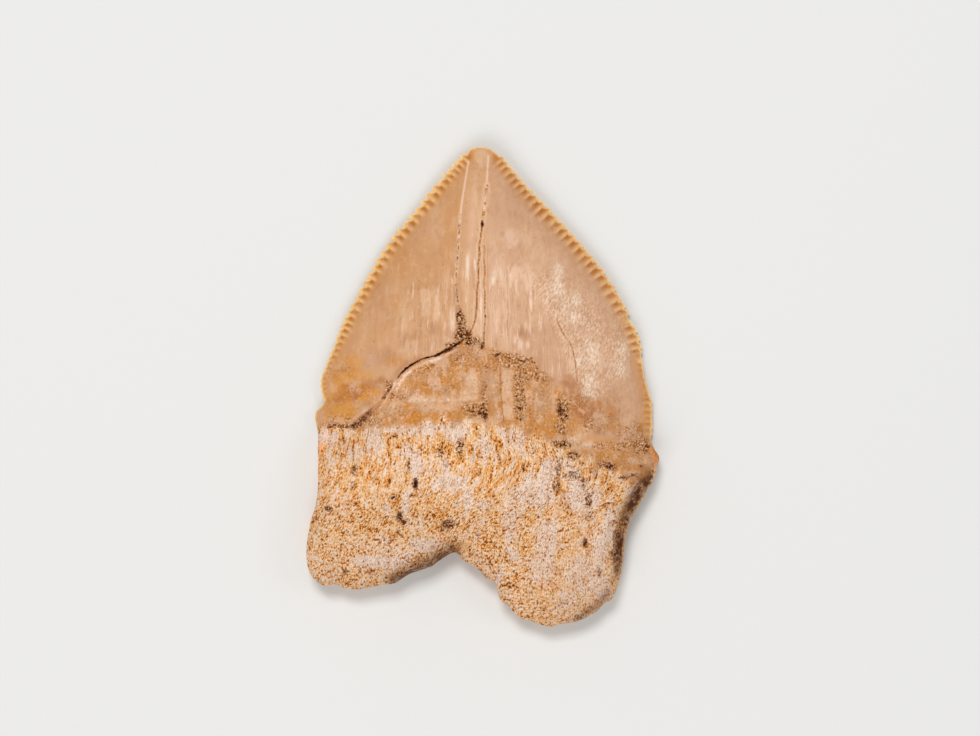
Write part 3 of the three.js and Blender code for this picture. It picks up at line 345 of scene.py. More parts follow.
colours = {
    "enamel": "#cf9b6e",
    "enamelPale": "#e6bc98",
    "enamelAmber": "#cc8c50",
    "enamelPink": "#d2a484",
    "enamelBrown": "#b57e57",
    # painted shade in the serrations' pockets and between the worn edge's beads
    "pocketShade": "#c1762c",
    "edgeAmber": "#d6944c",
    # painted highlight on the serrations' crests, the worn edge's beads and the right root's rim
    "crestHighlight": "#fccb88",
    # painted glow along the crown's thin rim
    "paintedEdgeGlow": "#ffdc92",
    # painted highlights and sheen on the enamel, also used for the pale crumbs along the left seam line
    "frostSheen": "#ffdec6",
    "glint": "#ffeed8",
    "neck": "#c48d5d",
    "neckPale": "#e4bb9a",
    "neckOrange": "#cd8434",
    "neckBrown": "#ab774f",
    "neckGrey": "#c4946f",
    "bone": "#f0a760",
    "boneCream": "#fcbc7b",
    "bonePale": "#ffd19b",
    "boneOrange": "#d88430",
    "bonePore": "#7e3604",
    "whiteBone": "#e3b18c",
    "whiteCream": "#efc8aa",
    "whitePale": "#fcdec9",
    "whiteOrange": "#cb8850",
    "calmBone": "#dcb08c",
    "boneWhite": "#f3d5bb",
    "crackOrange": "#a8600f",
    "crackSoil": "#4a2408",
    "cornerYellow": "#dc9848",
    "cornerOrange": "#dc9440",
    "cornerBrown": "#b06a36",
    "stainBrown": "#ae6d3b",
    "soil": "#5e2a08",
    "soilBrown": "#8e4f1c",
    # painted shade on the root's side walls and in the gap under the enamel's edge
    "wallShade": "#582a09",
    "shade": "#3a1200",
}


def tone(name):  # display colour to scene colour
    code = colours[name].lstrip("#")
    rgb = np.array([int(code[i:i + 2], 16) for i in (0, 2, 4)]) / 255
    return np.where(rgb <= 0.04045, rgb / 12.92, ((rgb + 0.055) / 1.055) ** 2.4)


def mix(a, b, t):
    return a + (b - a) * t


def ease(v, low, high):
    t = np.clip((v - low) / (high - low), 0, 1)
    return t * t * (3 - 2 * t)


def dip(distance, half):
    return np.maximum(0, 1 - (distance / half) ** 2)


def hump(distance, half):
    return np.exp(-(distance / half) ** 2)


dice = np.random.default_rng(11).random((256, 256))


def lumps(x, y, width, height=None, seed=0):  # smooth random ups and downs, -1 to 1
    u, v = x / width + 31.7 * seed, y / (height or width) + 17.3 * seed
    i, j = np.floor(u).astype(int), np.floor(v).astype(int)
    s, t = u - i, v - j
    s, t = s * s * (3 - 2 * s), t * t * (3 - 2 * t)
    i, j, i1, j1 = i % 256, j % 256, (i + 1) % 256, (j + 1) % 256
    return 2 * mix(mix(dice[i, j], dice[i1, j], s), mix(dice[i, j1], dice[i1, j1], s), t) - 1


def rough(x, y, size, seed=0):  # lumps with smaller lumps on them
    return sum(lumps(x, y, size / 2 ** k, seed=seed + k) / 2 ** k for k in range(3)) / 1.75


def curveThrough(points, step):
    p = np.array(points, float)
    p = np.vstack([p[:1], p, p[-1:]])
    t = np.linspace(0, 1, 40, endpoint=False)[:, None]
    run = [0.5 * (2 * b + (c - a) * t + (2 * a - 5 * b + 4 * c - d) * t ** 2 + (3 * b - a - 3 * c + d) * t ** 3)
           for a, b, c, d in zip(p, p[1:], p[2:], p[3:])]
    return evenly(np.vstack(run + [p[-1:]]), step)


def evenly(run, step):
    length = np.append(0, np.cumsum(np.linalg.norm(np.diff(run, axis=0), axis=1)))
    at = np.linspace(0, length[-1], max(2, round(length[-1] / step)) + 1)
    return np.column_stack([np.interp(at, length, run[:, 0]), np.interp(at, length, run[:, 1])])


def outwards(run, sign):
    along = np.gradient(run, axis=0)
    along /= np.linalg.norm(along, axis=1)[:, None]
    return sign * np.column_stack([-along[:, 1], along[:, 0]])


def distanceTo(line, x, y):
    least = np.full(x.shape, 1e9)
    for a, b in zip(line, line[1:]):
        dx, dy = b[0] - a[0], b[1] - a[1]
        t = np.clip(((x - a[0]) * dx + (y - a[1]) * dy) / (dx * dx + dy * dy), 0, 1)
        least = np.minimum(least, (x - a[0] - t * dx) ** 2 + (y - a[1] - t * dy) ** 2)
    return np.sqrt(least)


def distanceToCurve(points, step, x, y):
    return distanceTo(curveThrough(points, step), x, y)


def nearest(points, x, y):  # index of the nearest point and its distance
    tree = kdtree.KDTree(len(points))
    for i, p in enumerate(points):
        tree.insert((p[0], p[1], 0), i)
    tree.balance()
    found = [tree.find((a, b, 0))[1:] for a, b in zip(x.tolist(), y.tolist())]
    return np.array([f[0] for f in found]), np.array([f[1] for f in found])


def insideOf(polygon, x, y):
    within = np.zeros(x.shape, bool)
    for a, b in zip(polygon, np.roll(polygon, -1, 0)):
        if a[1] != b[1]:
            level = (y > min(a[1], b[1])) & (y <= max(a[1], b[1]))
            within[level] ^= x[level] < a[0] + (y[level] - a[1]) * (b[0] - a[0]) / (b[1] - a[1])
    return within


def serrate(name, sign):
    edge = curveThrough(outline[name], 0.02)
    out = outwards(edge, sign)
    at = np.append(0, np.cumsum(np.linalg.norm(np.diff(edge, axis=0), axis=1)))
    laws = sorted(serrations[name].items())
    shares, pitches, depths = [s for s, _ in laws], [v[0] for _, v in laws], [v[1] for _, v in laws]
    throw = np.random.default_rng(5 if name == "left" else 8)
    notches, sizes = [0.0], []
    while notches[-1] < at[-1]:
        share = notches[-1] / at[-1]
        uneven = 1 + serrations["unevenness"] * throw.uniform(-1, 1, 2)
        notches.append(notches[-1] + np.interp(share, shares, pitches) * uneven[0])
        sizes.append(np.interp(share, shares, depths) * uneven[1])
    place = np.interp(at, notches, np.arange(len(notches)))
    size = np.array(sizes)[np.minimum(place.astype(int), len(sizes) - 1)]
    if name == "right":
        for top, bottom in serrations["worn"]:
            within = ease(edge[:, 1], bottom - 0.05, bottom + 0.1) * ease(top - edge[:, 1], -0.05, 0.1)
            size = size * (1 - serrations["wear"] * within)
    shape = np.array(serrations["shape"][name])
    depth = size * np.interp(place % 1, shape[:, 0], shape[:, 1])
    toothed = evenly(edge + out * depth[:, None], outline["rimSpacing"])
    return {"edge": edge, "rim": toothed, "phase": place % 1, "size": size}


left, right = serrate("left", -1), serrate("right", 1)
rootRim = curveThrough(outline["root"], 0.06)
rootOut = outwards(rootRim, 1)
fromStart = np.arange(len(rootRim))
crumble = outline["crumble"] * rough(rootRim[:, 0], rootRim[:, 1], outline["crumbleWidth"], 3)
crumble = crumble * ease(fromStart, 0, 12) * ease(len(rootRim) - 1.0 - fromStart, 0, 12)
rootRim = rootRim + rootOut * crumble[:, None]
pointRim = curveThrough(outline["point"], 0.05)
rim = np.vstack([left["rim"], rootRim[::-1][1:-1], right["rim"][::-1], pointRim[::-1][1:-1]])  # anticlockwise
rimOut = outwards(np.vstack([rim[-1:], rim, rim[:1]]), -1)[1:-1]
print("rim points:", len(rim))

spine = curveThrough(body["spine"], 0.05)
enamelEdge = curveThrough(body["enamelEdge"], 0.35)
sideHollow = curveThrough(body["sideHollow"], 0.5)


def sideLine(edge, fromRoot):
    line = np.vstack([curveThrough(outline[edge], 0.3), fromRoot])
    line = line[line[:, 1] > -9]
    return line[np.argsort(line[:, 1])]


plainRoot = curveThrough(outline["root"], 0.25)
leftSide = sideLine("left", plainRoot[plainRoot[:, 0] < -8])
rightSide = sideLine("right", plainRoot[plainRoot[:, 0] > 8])


def across(x, y):  # -1 at the left side, 1 at the right
    a = np.interp(y, leftSide[:, 1], leftSide[:, 0])
    b = np.interp(y, rightSide[:, 1], rightSide[:, 0])
    return np.clip((2 * x - a - b) / (b - a), -1, 1)


def aboveEnamelEdge(x, y):
    level = np.interp(x, enamelEdge[:, 0], enamelEdge[:, 1])
    return distanceTo(enamelEdge, x, y) * np.sign(y - level)


def quarterRound(t):
    return np.sqrt(1 - (1 - np.clip(t, 0, 1)) ** 2)


def liftAt(y):
    return body["pointLift"] * ease(y, 8.5, 13.5)


def rimHeight(y, above):
    onRoot = ease(-above, -0.7, 1.2)
    edge, root = body["cuttingEdge"], body["rootRim"]
    return mix(edge[0] + liftAt(y), root[0], onRoot), mix(edge[1], root[1], onRoot) / 2, onRoot


def bodyHeight(x, y, inside, above):
    u = across(x, y)
    top = np.interp(-y, -spine[:, 0], spine[:, 1])
    low = sum(body["cuttingEdge"]) - body["cuttingEdge"][1] / 2 + liftAt(y)
    crown = low + (top - low) * (1 - np.abs(u) ** body["crownFullness"])
    rootLow = body["rootRim"][0] + body["rootRim"][1] / 2
    root = rootLow + (top * (1 - body["rootFall"] * u * u) - rootLow) * quarterRound(inside / body["rootRounding"])
    z = mix(crown, root, ease(-above, -0.2, body["neckBlend"]))
    z -= body["neckHollow"] * hump(above + 1.4, 0.9) * ease(6 - np.abs(x), 0, 2)
    side = dip(distanceTo(sideHollow, x, y), 0.8) * ease(-y, 4.8, 7) * ease(y, -10.5, -8)
    notch = hump(x + 1.5, 1.8) * ease(-y, 4.5, 9.4)
    z -= (relief["sideHollow"] * side + relief["notchHollow"] * notch) * ease(inside, 0, 0.5)
    return z


def backHeight(x, y, inside):
    bend = np.maximum(0, (np.abs(across(x, y)) - 0.45) / 0.55) ** 1.6
    crown = liftAt(y) + (body["cuttingEdge"][0] - body["cuttingEdge"][1] / 2) * bend
    high = body["rootRim"][0] - body["rootRim"][1] / 2
    hollow = body["backHollow"] * ease(y, -8.3, -6)
    root = hollow + (high - hollow) * (1 - quarterRound(inside / body["backRounding"]))
    return mix(crown, root, ease(-1.2 - y, 0, 2))


def packed(*columns):  # side by side, as Blender's lists take them
    return np.column_stack(columns).astype(np.float32).ravel()


def places(obj):
    co = np.empty(3 * len(obj.data.vertices), np.float32)
    obj.data.vertices.foreach_get("co", co)
    return co.reshape(-1, 3).astype(float).T / mm


def pick(obj, which):  # selects these vertices and whole edges and faces between them
    mesh = obj.data
    mesh.vertices.foreach_set("select", which.astype(bool))
    pairs = np.empty(2 * len(mesh.edges), np.int32)
    mesh.edges.foreach_get("vertices", pairs)
    mesh.edges.foreach_set("select", which[pairs].reshape(-1, 2).all(1))
    corners = np.empty(len(mesh.loops), np.int32)
    mesh.loops.foreach_get("vertex_index", corners)
    starts = np.empty(len(mesh.polygons), np.int32)
    mesh.polygons.foreach_get("loop_start", starts)
    if len(starts):
        mesh.polygons.foreach_set("select", np.logical_and.reduceat(which[corners], starts))


def flatNet(spacing, z):  # grid trimmed back to just inside the rim
    low, high = rim.min(0), rim.max(0)
    size = high - low
    counts = (size / spacing).astype(int)
    bpy.ops.object.select_all(action="DESELECT")
    bpy.ops.mesh.primitive_grid_add(x_subdivisions=int(counts[0]), y_subdivisions=int(counts[1]), size=1,
                                    location=((low + high) / 2 * mm).tolist() + [z * mm])
    net = bpy.context.object
    net.scale = (size[0] * mm, size[1] * mm, 1)
    bpy.ops.object.transform_apply(location=True, rotation=True, scale=True)
    x, y, _ = places(net)
    _, inside = nearest(rim, x, y)
    outsiders = ~(insideOf(rim, x, y) & (inside > body["trim"] * spacing))
    pick(net, outsiders)
    bpy.ops.object.mode_set(mode="EDIT")
    bpy.ops.mesh.delete(type="VERT")
    bpy.ops.mesh.select_all(action="SELECT")
    bpy.ops.mesh.delete_loose(use_verts=True, use_edges=True, use_faces=False)
    bpy.ops.object.mode_set(mode="OBJECT")
    return net


def selectOpenEdges(wire):
    bpy.ops.mesh.select_mode(type="EDGE")
    bpy.ops.mesh.select_all(action="DESELECT")
    bpy.ops.mesh.select_non_manifold(extend=False, use_wire=wire, use_boundary=True, use_multi_face=False,
                                     use_non_contiguous=False, use_verts=False)


def joinTo(obj, other):
    bpy.ops.object.select_all(action="DESELECT")
    obj.select_set(True)
    other.select_set(True)
    bpy.context.view_layer.objects.active = obj
    bpy.ops.object.join()


def closeRim():  # triangles between the net's ragged edge and the rim
    bpy.ops.object.mode_set(mode="EDIT")
    selectOpenEdges(wire=True)
    bpy.ops.mesh.fill(use_beauty=True)


def buildTooth():
    face = flatNet(body["faceNet"], 0)
    x, y, _ = places(face)
    _, fromLeft = nearest(left["rim"], x, y)
    _, fromRight = nearest(right["rim"], x, y)
    close = np.minimum(fromLeft, fromRight) < body["edgeReach"]
    fine = [route for route, _, _, darkness, *_ in cracks if darkness > 0.45] + [seam, seamRight]
    for route in fine:
        close |= distanceToCurve(route, 0.5, x, y) < body["fineReach"]
    start, end = body["seamReach"]
    close |= (np.abs(aboveEnamelEdge(x, y) + 0.1) < 0.35) & (x > start) & (x < end)
    pick(face, close)
    bpy.ops.object.mode_set(mode="EDIT")
    bpy.ops.mesh.subdivide(number_cuts=1, quadcorner="STRAIGHT_CUT")
    bpy.ops.object.mode_set(mode="OBJECT")

    bpy.ops.object.select_all(action="DESELECT")
    bpy.ops.mesh.primitive_circle_add(vertices=len(rim), radius=0.01)
    ring = bpy.context.object
    ring.data.vertices.foreach_set("co", packed(rim[:, 0] * mm, rim[:, 1] * mm, np.zeros(len(rim))))
    joinTo(face, ring)
    closeRim()
    selectOpenEdges(wire=False)
    for _ in range(body["rimRows"]):  # one millimetre apart for now
        bpy.ops.mesh.extrude_region_move(TRANSFORM_OT_translate={"value": (0, 0, -1 * mm)})
    bpy.ops.object.mode_set(mode="OBJECT")
    joinTo(face, flatNet(body["backNet"], -body["rimRows"]))
    closeRim()
    bpy.ops.mesh.select_mode(type="VERT")
    bpy.ops.mesh.select_all(action="SELECT")
    bpy.ops.mesh.remove_doubles(threshold=body["mergeDistance"] * mm)
    bpy.ops.object.mode_set(mode="OBJECT")
    face.name = "tooth"
    face.data.name = "tooth"
    return face


def spread(x, y, a, b, rx, ry):  # 0 in the middle of a spot, 1 at its edge
    return np.hypot((x - a) / rx, (y - b) / ry)


def patches(x, y, spots):  # ragged soft spots, added up
    total = np.zeros(x.shape)
    wobble = 0.3 * rough(x, y, 0.45, 51)
    for *spot, amount in spots:
        d = spread(x, y, *spot) + wobble
        total += amount * (1 - ease(d, 0.45, 1.45))
    return total


def crackMarks(x, y):  # depth, raised lips, and darkness in each crack's colour
    depth, lips, inks = np.zeros(x.shape), np.zeros(x.shape), {}
    for n, (route, half, deep, darkness, broken, ink) in enumerate(cracks):
        wander = 0.03 * lumps(x * 0, y, 1, 0.5, n) + 0.02 * lumps(x * 0, y, 1, 0.15, n + 20)
        d = distanceToCurve(route, 0.3, x + wander, y)
        patchy = mix(1, ease(lumps(x, y, 0.3, 0.16, n + 3), -0.2, 0.35), broken)
        depth += deep * dip(d, half * 1.5) * mix(0.4, 1, patchy)
        lips += hump(d - 2.3 * half, half) * mix(0.6, 1, patchy) * min(1, darkness * 1.3)
        inks[ink] = np.maximum(inks.get(ink, 0), darkness * np.minimum(1, 1.6 * dip(d, half * 1.5)) * patchy)
    return depth, np.minimum(lips, 1), inks


def serrationMarks(x, y):
    # pocket and crest mark where painted shade and painted highlight go on the serrations
    height, pocket, crest, zone = (np.zeros(x.shape) for _ in range(4))
    for side, reach in ((left, 0.7), (right, 1.0)):
        i, d = nearest(side["edge"], x, y)
        phase, size = side["phase"][i], np.minimum(side["size"][i] / 0.2, 1)
        lie = np.interp(phase, *zip(*serrations["crest"])) * size
        long = serrations["crestLength"] * reach * mix(0.4, 1, size) * (1 + 0.2 * lumps(x, y, 0.4, seed=71))
        fade = (1 - ease(d, 0.3 * long, long)) * ease(d, -0.1, 0.1)
        height += serrations["crestHeight"] * lie * fade * reach
        pocket = np.maximum(pocket, ease(-lie, -0.2, 0.8) * (1 - ease(d, 0.25 * long, 0.85 * long)))
        crest = np.maximum(crest, np.maximum(0, lie) * (1 - ease(d, 0.25 * long, 0.9 * long)))
        zone = np.maximum(zone, 1 - ease(d, 0.1, 0.9))
    return height, pocket, crest, zone


def shapeTooth(obj):
    x, y, z = places(obj)
    level = np.round(-z).astype(int)  # 0 face, 1 to 3 the band's rows, 4 back
    where, inside = nearest(rim, x, y)
    above = aboveEnamelEdge(x, y)
    middle, half, onRoot = rimHeight(y, above)
    onRim = inside < 2 * body["mergeDistance"]

    crestHeight, pocket, crest, edgeZone = serrationMarks(x, y)
    crackDepth, lips, inks = crackMarks(x, y)
    ragged = 0.1 * rough(x, y, 0.5, 4) + 0.25 * rough(x, y, 1.3, 8) * ease(x, 0.5, 2)
    onEnamel = ease(above + ragged, mix(-0.05, -0.3, ease(x, 0, 2)), mix(0.06, 0.3, ease(x, 0, 2)))
    alongGap = ease(x, -5.0, -4.4) * ease(-0.9 - x, 0, 0.4)
    gapHalf = 1 + 0.5 * rough(x, y, 0.3, 9) + 0.5 * lumps(x, y, 0.11, seed=10)
    gapHalf *= mix(0.045, 0.09, ease(x, -3.2, -1.9))
    gap = dip(above + 0.08 + 0.05 * rough(x, y, 0.35, 6), gapHalf) * alongGap
    # a band of painted shade on the enamel just above the gap
    shadowOverGap = hump(above - 0.12, 0.16) * ease(x, -5.4, -4.6) * ease(-3.0 - x, 0, 0.8)
    lip = hump(above + 0.3, 0.13 + 0.04 * rough(x, y, 0.6, 7)) * ease(x, -5.0, -4.7) * ease(-2.1 - x, 0, 0.3)
    lip = np.maximum(lip, 0.7 * hump(distanceTo(seamEnd["lip"], x, y), 0.08))
    thinLip = hump(distanceToCurve(seamEnd["thinLip"], 0.3, x, y), 0.08)
    lip = np.maximum(lip, 0.9 * thinLip)
    gapEnd = dip(distanceTo(seamEnd["gap"], x, y) + 0.08 * rough(x, y, 0.2, 13), 0.12)
    roll = distanceToCurve(seamEnd["roll"], 0.3, x, y)
    fold = distanceToCurve(seamEnd["fold"], 0.3, x, y)
    fold = dip(fold + 0.06 * rough(x, y, 0.3, 2), 0.2) * ease(-x, 5.9, 6.5)

    wrinkles = ease(x, -5.4, -3.5) * ease(5.6 - x, 0, 1.2) * ease(8.2 - y, 0, 3) * ease(above, 0, 0.4)
    wave = lumps(x, y, 0.34, 2.6, 2) + 0.5 * lumps(x, y, 0.17, 1.6, 3)
    frostSheen = sum(amount * hump(spread(x, y, *spot), 1) for *spot, amount in frostPatches)
    frostSheen *= ease(x + 0.45 * (y - 2), 3.8, 5.0) * onEnamel * ease(7.5 - y, 0, 2)
    glint = np.zeros(x.shape)
    for spot in glints:
        glint = np.maximum(glint, hump(spread(x, y, *spot) + 0.4 * rough(x, y, 0.4, 48), 1))
    chips = lumps(x, y, 0.32, seed=5) + 0.6 * lumps(x, y, 0.15, seed=6)
    soil = np.clip(patches(x, y, soilPatches), 0, 1)
    seamSoil = distanceToCurve(leftLine, 0.3, x, y)
    soil = np.maximum(soil, 0.7 * dip(seamSoil, 0.08) * ease(lumps(x, y, 0.3, 0.3, 47), -0.2, 0.5))
    soil *= 1 - 0.8 * thinLip
    sandy = np.clip(patches(x, y, sandyPatches), 0, 1) * (1 - 0.9 * np.maximum(thinLip, lip))

    porousTop = np.interp(x, *zip(*body["porousTop"]))
    flow = across(x, y) * 9.5 - 0.16 * (y + 6) * (1 - ease(x, 0, 5))
    streaked = 0.4 * rough(x, y, 0.45, 44) + 0.4 * lumps(flow, y, 0.25, 1.5, 45)
    porous = ease(porousTop - y + streaked, -0.1, 0.4)
    granules = rough(x, y, 0.26, 12)
    ribs = lumps(flow, y, 0.3, 1.6, 61) + 0.5 * lumps(flow, y, 0.16, 0.9, 62)

    holeDepth, dark = np.zeros(x.shape), np.zeros(x.shape)
    warp = 1 + 0.5 * rough(x, y, 0.22, 14)
    for *spot, deep, darkness in holes:
        d = spread(x, y, *spot) * warp
        holeDepth = np.maximum(holeDepth, deep * dip(d, 1.15))
        dark = np.maximum(dark, darkness * dip(d, 1.3))

    worn = sum(ease(y, bottom, bottom + 0.1) * ease(top - y, 0, 0.1) for top, bottom in serrations["worn"])
    worn *= ease(x, 3, 4) * (1 - ease(inside, 0.1, 0.4))
    beading = lumps(x * 0, y + 0.3 * x, 1, 0.15, 64)
    crownIn = ease(inside, 0.05, 0.9)
    face = bodyHeight(x, y, inside, above)
    face += body["enamelStep"] * mix(onEnamel, ease(above, -0.6, 0.6), ease(x, 0, 2)) * ease(inside, 0.1, 1.2)
    face += (crestHeight + relief["beads"] * worn * beading) * ease(inside, 0, 0.1)
    face += crownIn * onEnamel * (relief["enamelWaves"] * rough(x, y, 1.8, 1) + relief["wrinkles"] * wrinkles * wave
                                  + relief["frostSheen"] * frostSheen * chips)
    strip = x + 0.75 - 0.06 * (y - 8)
    face += crownIn * relief["strip"] * dip(strip, 0.55) * ease(y, 3, 6)
    face += relief["seamLeft"] * hump(distanceToCurve(seam, 0.5, x, y), 0.05) * onEnamel
    face += relief["seamRight"] * hump(distanceToCurve(seamRight, 0.5, x, y), 0.05) * onEnamel
    face += relief["crackLips"] * lips * onEnamel - crackDepth
    face -= (relief["gap"] * gap + relief["gapEnd"] * gapEnd + relief["fold"] * fold) * ease(inside, 0, 0.5)
    face += relief["lip"] * lip + relief["roll"] * hump(roll, 0.26)
    face += (1 - onEnamel) * ease(inside, 0, 0.3) * (relief["rootWaves"] * rough(x, y, 0.7, 18)
                                                     + relief["ribs"] * ribs * porous)
    face += relief["granules"] * granules * porous * ease(-y, 5.0, 7) * ease(inside, 0, 0.25)
    face -= holeDepth * ease(inside, 0, 0.4)
    face += (relief["soil"] * soil + relief["sand"] * sandy) * lumps(x, y, 0.14, seed=22)

    bevel = mix(*body["bevel"], onRoot)
    rimTop = middle + half - bevel
    floorOf = middle + half * 0.6
    under = np.minimum(backHeight(x, y, inside), middle - half)
    heights = [np.where(onRim, rimTop, np.maximum(face, floorOf)), mix(middle + 0.5 * half, middle + half, onRoot),
               middle, middle - 0.5 * half, np.where(onRim, middle - half, under)]
    newZ = np.choose(level, heights)
    bulge = np.choose(level, body["rimBulge"]) * mix(0.6, 1.4, onRoot)
    newX, newY = x + rimOut[where, 0] * bulge, y + rimOut[where, 1] * bulge

    low, high = (np.array(c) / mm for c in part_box("shark_tooth"))
    shift = (low + high) / 2 - [(newX.min() + newX.max()) / 2, (newY.min() + newY.max()) / 2, 0]
    newX, newY, newZ = newX + shift[0], newY + shift[1], newZ - newZ.min()
    obj.data.vertices.foreach_set("co", packed(newX * mm, newY * mm, newZ * mm))
    obj.data.update()
    print("shift:", shift.round(3), "top:", newZ.max().round(2), "CAD top:", high[2].round(2))
    return {"x": x, "y": y, "inside": inside, "above": above, "level": level, "pocket": pocket, "crest": crest,
            "edgeZone": edgeZone * ease(above, 0, 0.6), "lips": lips, "inks": inks, "onEnamel": onEnamel, "gap": gap,
            "gapEnd": np.maximum(gapEnd, fold), "shadowOverGap": shadowOverGap, "roll": hump(roll, 0.22), "lip": lip,
            "wrinkles": wrinkles, "wave": wave, "frostSheen": frostSheen, "glint": glint * onEnamel, "porous": porous,
            "dark": dark, "soil": soil, "sandy": sandy, "chips": chips, "flow": flow, "worn": worn,
            "beading": beading}


def seamX(y):
    line = np.array(seam + [(-1.4, 6.0), (-1.3, 4.0)])
    return np.interp(y, line[::-1, 1], line[::-1, 0])


def paintTooth(obj, m):
    x, y, above, inside, enamel = m["x"], m["y"], m["above"], m["inside"], m["onEnamel"]
    paint = np.tile(tone("bone"), (len(x), 1))

    def brush(mask, name, strength=1.0):
        paint[:] = mix(paint, tone(name), np.clip(mask * strength, 0, 1)[:, None])

    neck = 1 - enamel
    brush(neck, "neck")
    brush(neck * ease(rough(x, y, 0.8, 36), 0.0, 0.6), "neckGrey", 0.6)
    brush(neck * ease(rough(x, y, 0.7, 33), 0.1, 0.7), "neckPale", 0.5)
    brush(neck * ease(rough(x, y, 0.5, 37), 0.05, 0.4), "neckOrange", 0.75)
    wobbleX = x + 0.06 * rough(x, y, 0.4, 34)
    worn = mix(0.6, 1, ease(rough(x, y, 0.45, 50), -0.45, 0.1))
    smooth = np.zeros(x.shape)
    for topX, topY, endX, endY, topHalf, endHalf, name, strength in panels:
        t = np.clip((topY - y) / (topY - endY), 0, 1)
        beyond = np.maximum(y - topY, endY - y) + 0.15 * rough(x, y, 0.5, 35)
        d = np.abs(wobbleX - mix(topX, endX, t)) - mix(topHalf, endHalf, t)
        panel = (1 - ease(d, -0.12, 0.08)) * (1 - ease(beyond, -0.1, 0.25)) * worn
        smooth = np.maximum(smooth, panel * strength * (name != "neckOrange"))
        brush(panel, name, strength)
    brush(enamel, "enamel")
    brush(enamel * ease(rough(x, y, 2.6, 38), -0.1, 0.8), "enamelPale", 0.25)
    brush(enamel * ease(rough(x, y, 1.6, 32), 0.0, 0.8), "enamelPink", 0.3)
    brush(enamel * ease(4 - y, -2, 4) * ease(np.abs(across(x, y)), 1.0, 0.4), "enamelPale", 0.3)
    brush(enamel * ease(x, 0.1, 0.7), "enamelPink", 0.7)
    brush(enamel * ease(distanceTo(seam, x, y), 0.9, 0.0) * ease(seamX(y) - x, 0, 0.05), "enamelAmber", 0.3)
    brush(enamel * ease(x - seamX(y), 0.05, 0.2) * ease(0.25 - x, 0, 0.3), "enamelPale", 0.2)
    # painted highlight on the wrinkles' ridges and painted shade in their troughs
    brush(m["wrinkles"] * ease(m["wave"], 0.2, 1.1), "enamelPale", 0.45)
    brush(m["wrinkles"] * ease(-m["wave"], 0.3, 1.1), "enamelBrown", 0.25)
    for *spot, name, strength in strokes:
        d = spread(x, y, *spot) + 0.3 * rough(x, y, 0.5, 39) + 0.35 * lumps(x, y, 0.13, 0.2, 40)
        brush(1 - ease(d, 0.4, 1.5), name, strength)
    brush(m["edgeZone"], "edgeAmber", 0.6)
    # painted shade in the serrations' pockets and painted highlight on their crests; the same on the worn edge's
    # beads
    brush(m["pocket"] * ease(above, -0.2, 0.3), "pocketShade", 0.95)
    brush(m["crest"] * ease(above, -0.2, 0.3), "crestHighlight", 0.7)
    brush(m["worn"] * ease(m["beading"], 0.1, 0.5), "crestHighlight", 0.7)
    brush(m["worn"] * ease(-m["beading"], 0.1, 0.5), "pocketShade", 0.7)
    # painted glow along the crown's thin rim
    brush((1 - ease(inside, 0.02, 0.1)) * ease(above, -0.2, 0.3), "paintedEdgeGlow", 0.75)
    # painted sheen and glitter over the crinkled enamel
    brush(m["frostSheen"], "enamelPale", 0.45)
    brush(m["frostSheen"] * ease(m["chips"], -0.2, 0.9), "frostSheen", 0.2)
    # painted highlights along the raised healed seams
    for line in (seam, seamRight):
        brush(hump(distanceToCurve(line, 0.5, x, y), 0.06), "frostSheen", 0.6)
    beads = ease(lumps(x, y, 0.2, 0.13, 52), 0.0, 0.4)
    brush(hump(distanceToCurve(leftLine, 0.3, x, y), 0.07) * beads, "frostSheen", 0.9)
    # painted highlight on the raised lips beside the cracks
    brush(m["lips"] * enamel, "enamelPale", 0.6)
    # painted shade on the enamel just above the gap
    brush(m["shadowOverGap"], "enamelBrown", 0.7)
    brush(m["roll"], "enamelPink", 0.5)
    # painted highlight on the raised lip below the gap
    brush(m["lip"], "whitePale", 0.95)

    # painted shade on the right root's steep side wall and on the listed darker stretches of the root's side
    wallWide = mix(1.25, 0.85, ease(-y, 6, 8)) + 0.15 * rough(x, y, 0.5, 53)
    wallShade = ease(x, 6.8, 7.6) * ease(-y, 4.3, 5.4) * ease(y, -11.3, -10.0)
    wallShade *= (1 - ease(inside, 0.4 * wallWide, wallWide)) * ease(inside, 0.04, 0.16)
    for line, half, strength in wallShadeLines:
        wallShade = np.maximum(wallShade, strength * hump(distanceTo(line, x, y), half))
    # painted highlight along the rim of the right root
    litRim = (1 - ease(inside, 0.03, 0.1)) * ease(x, 7.1, 7.5) * ease(-y, 4.2, 4.6) * 0.75 * (m["level"] == 0)
    brush(litRim, "crestHighlight", 1)

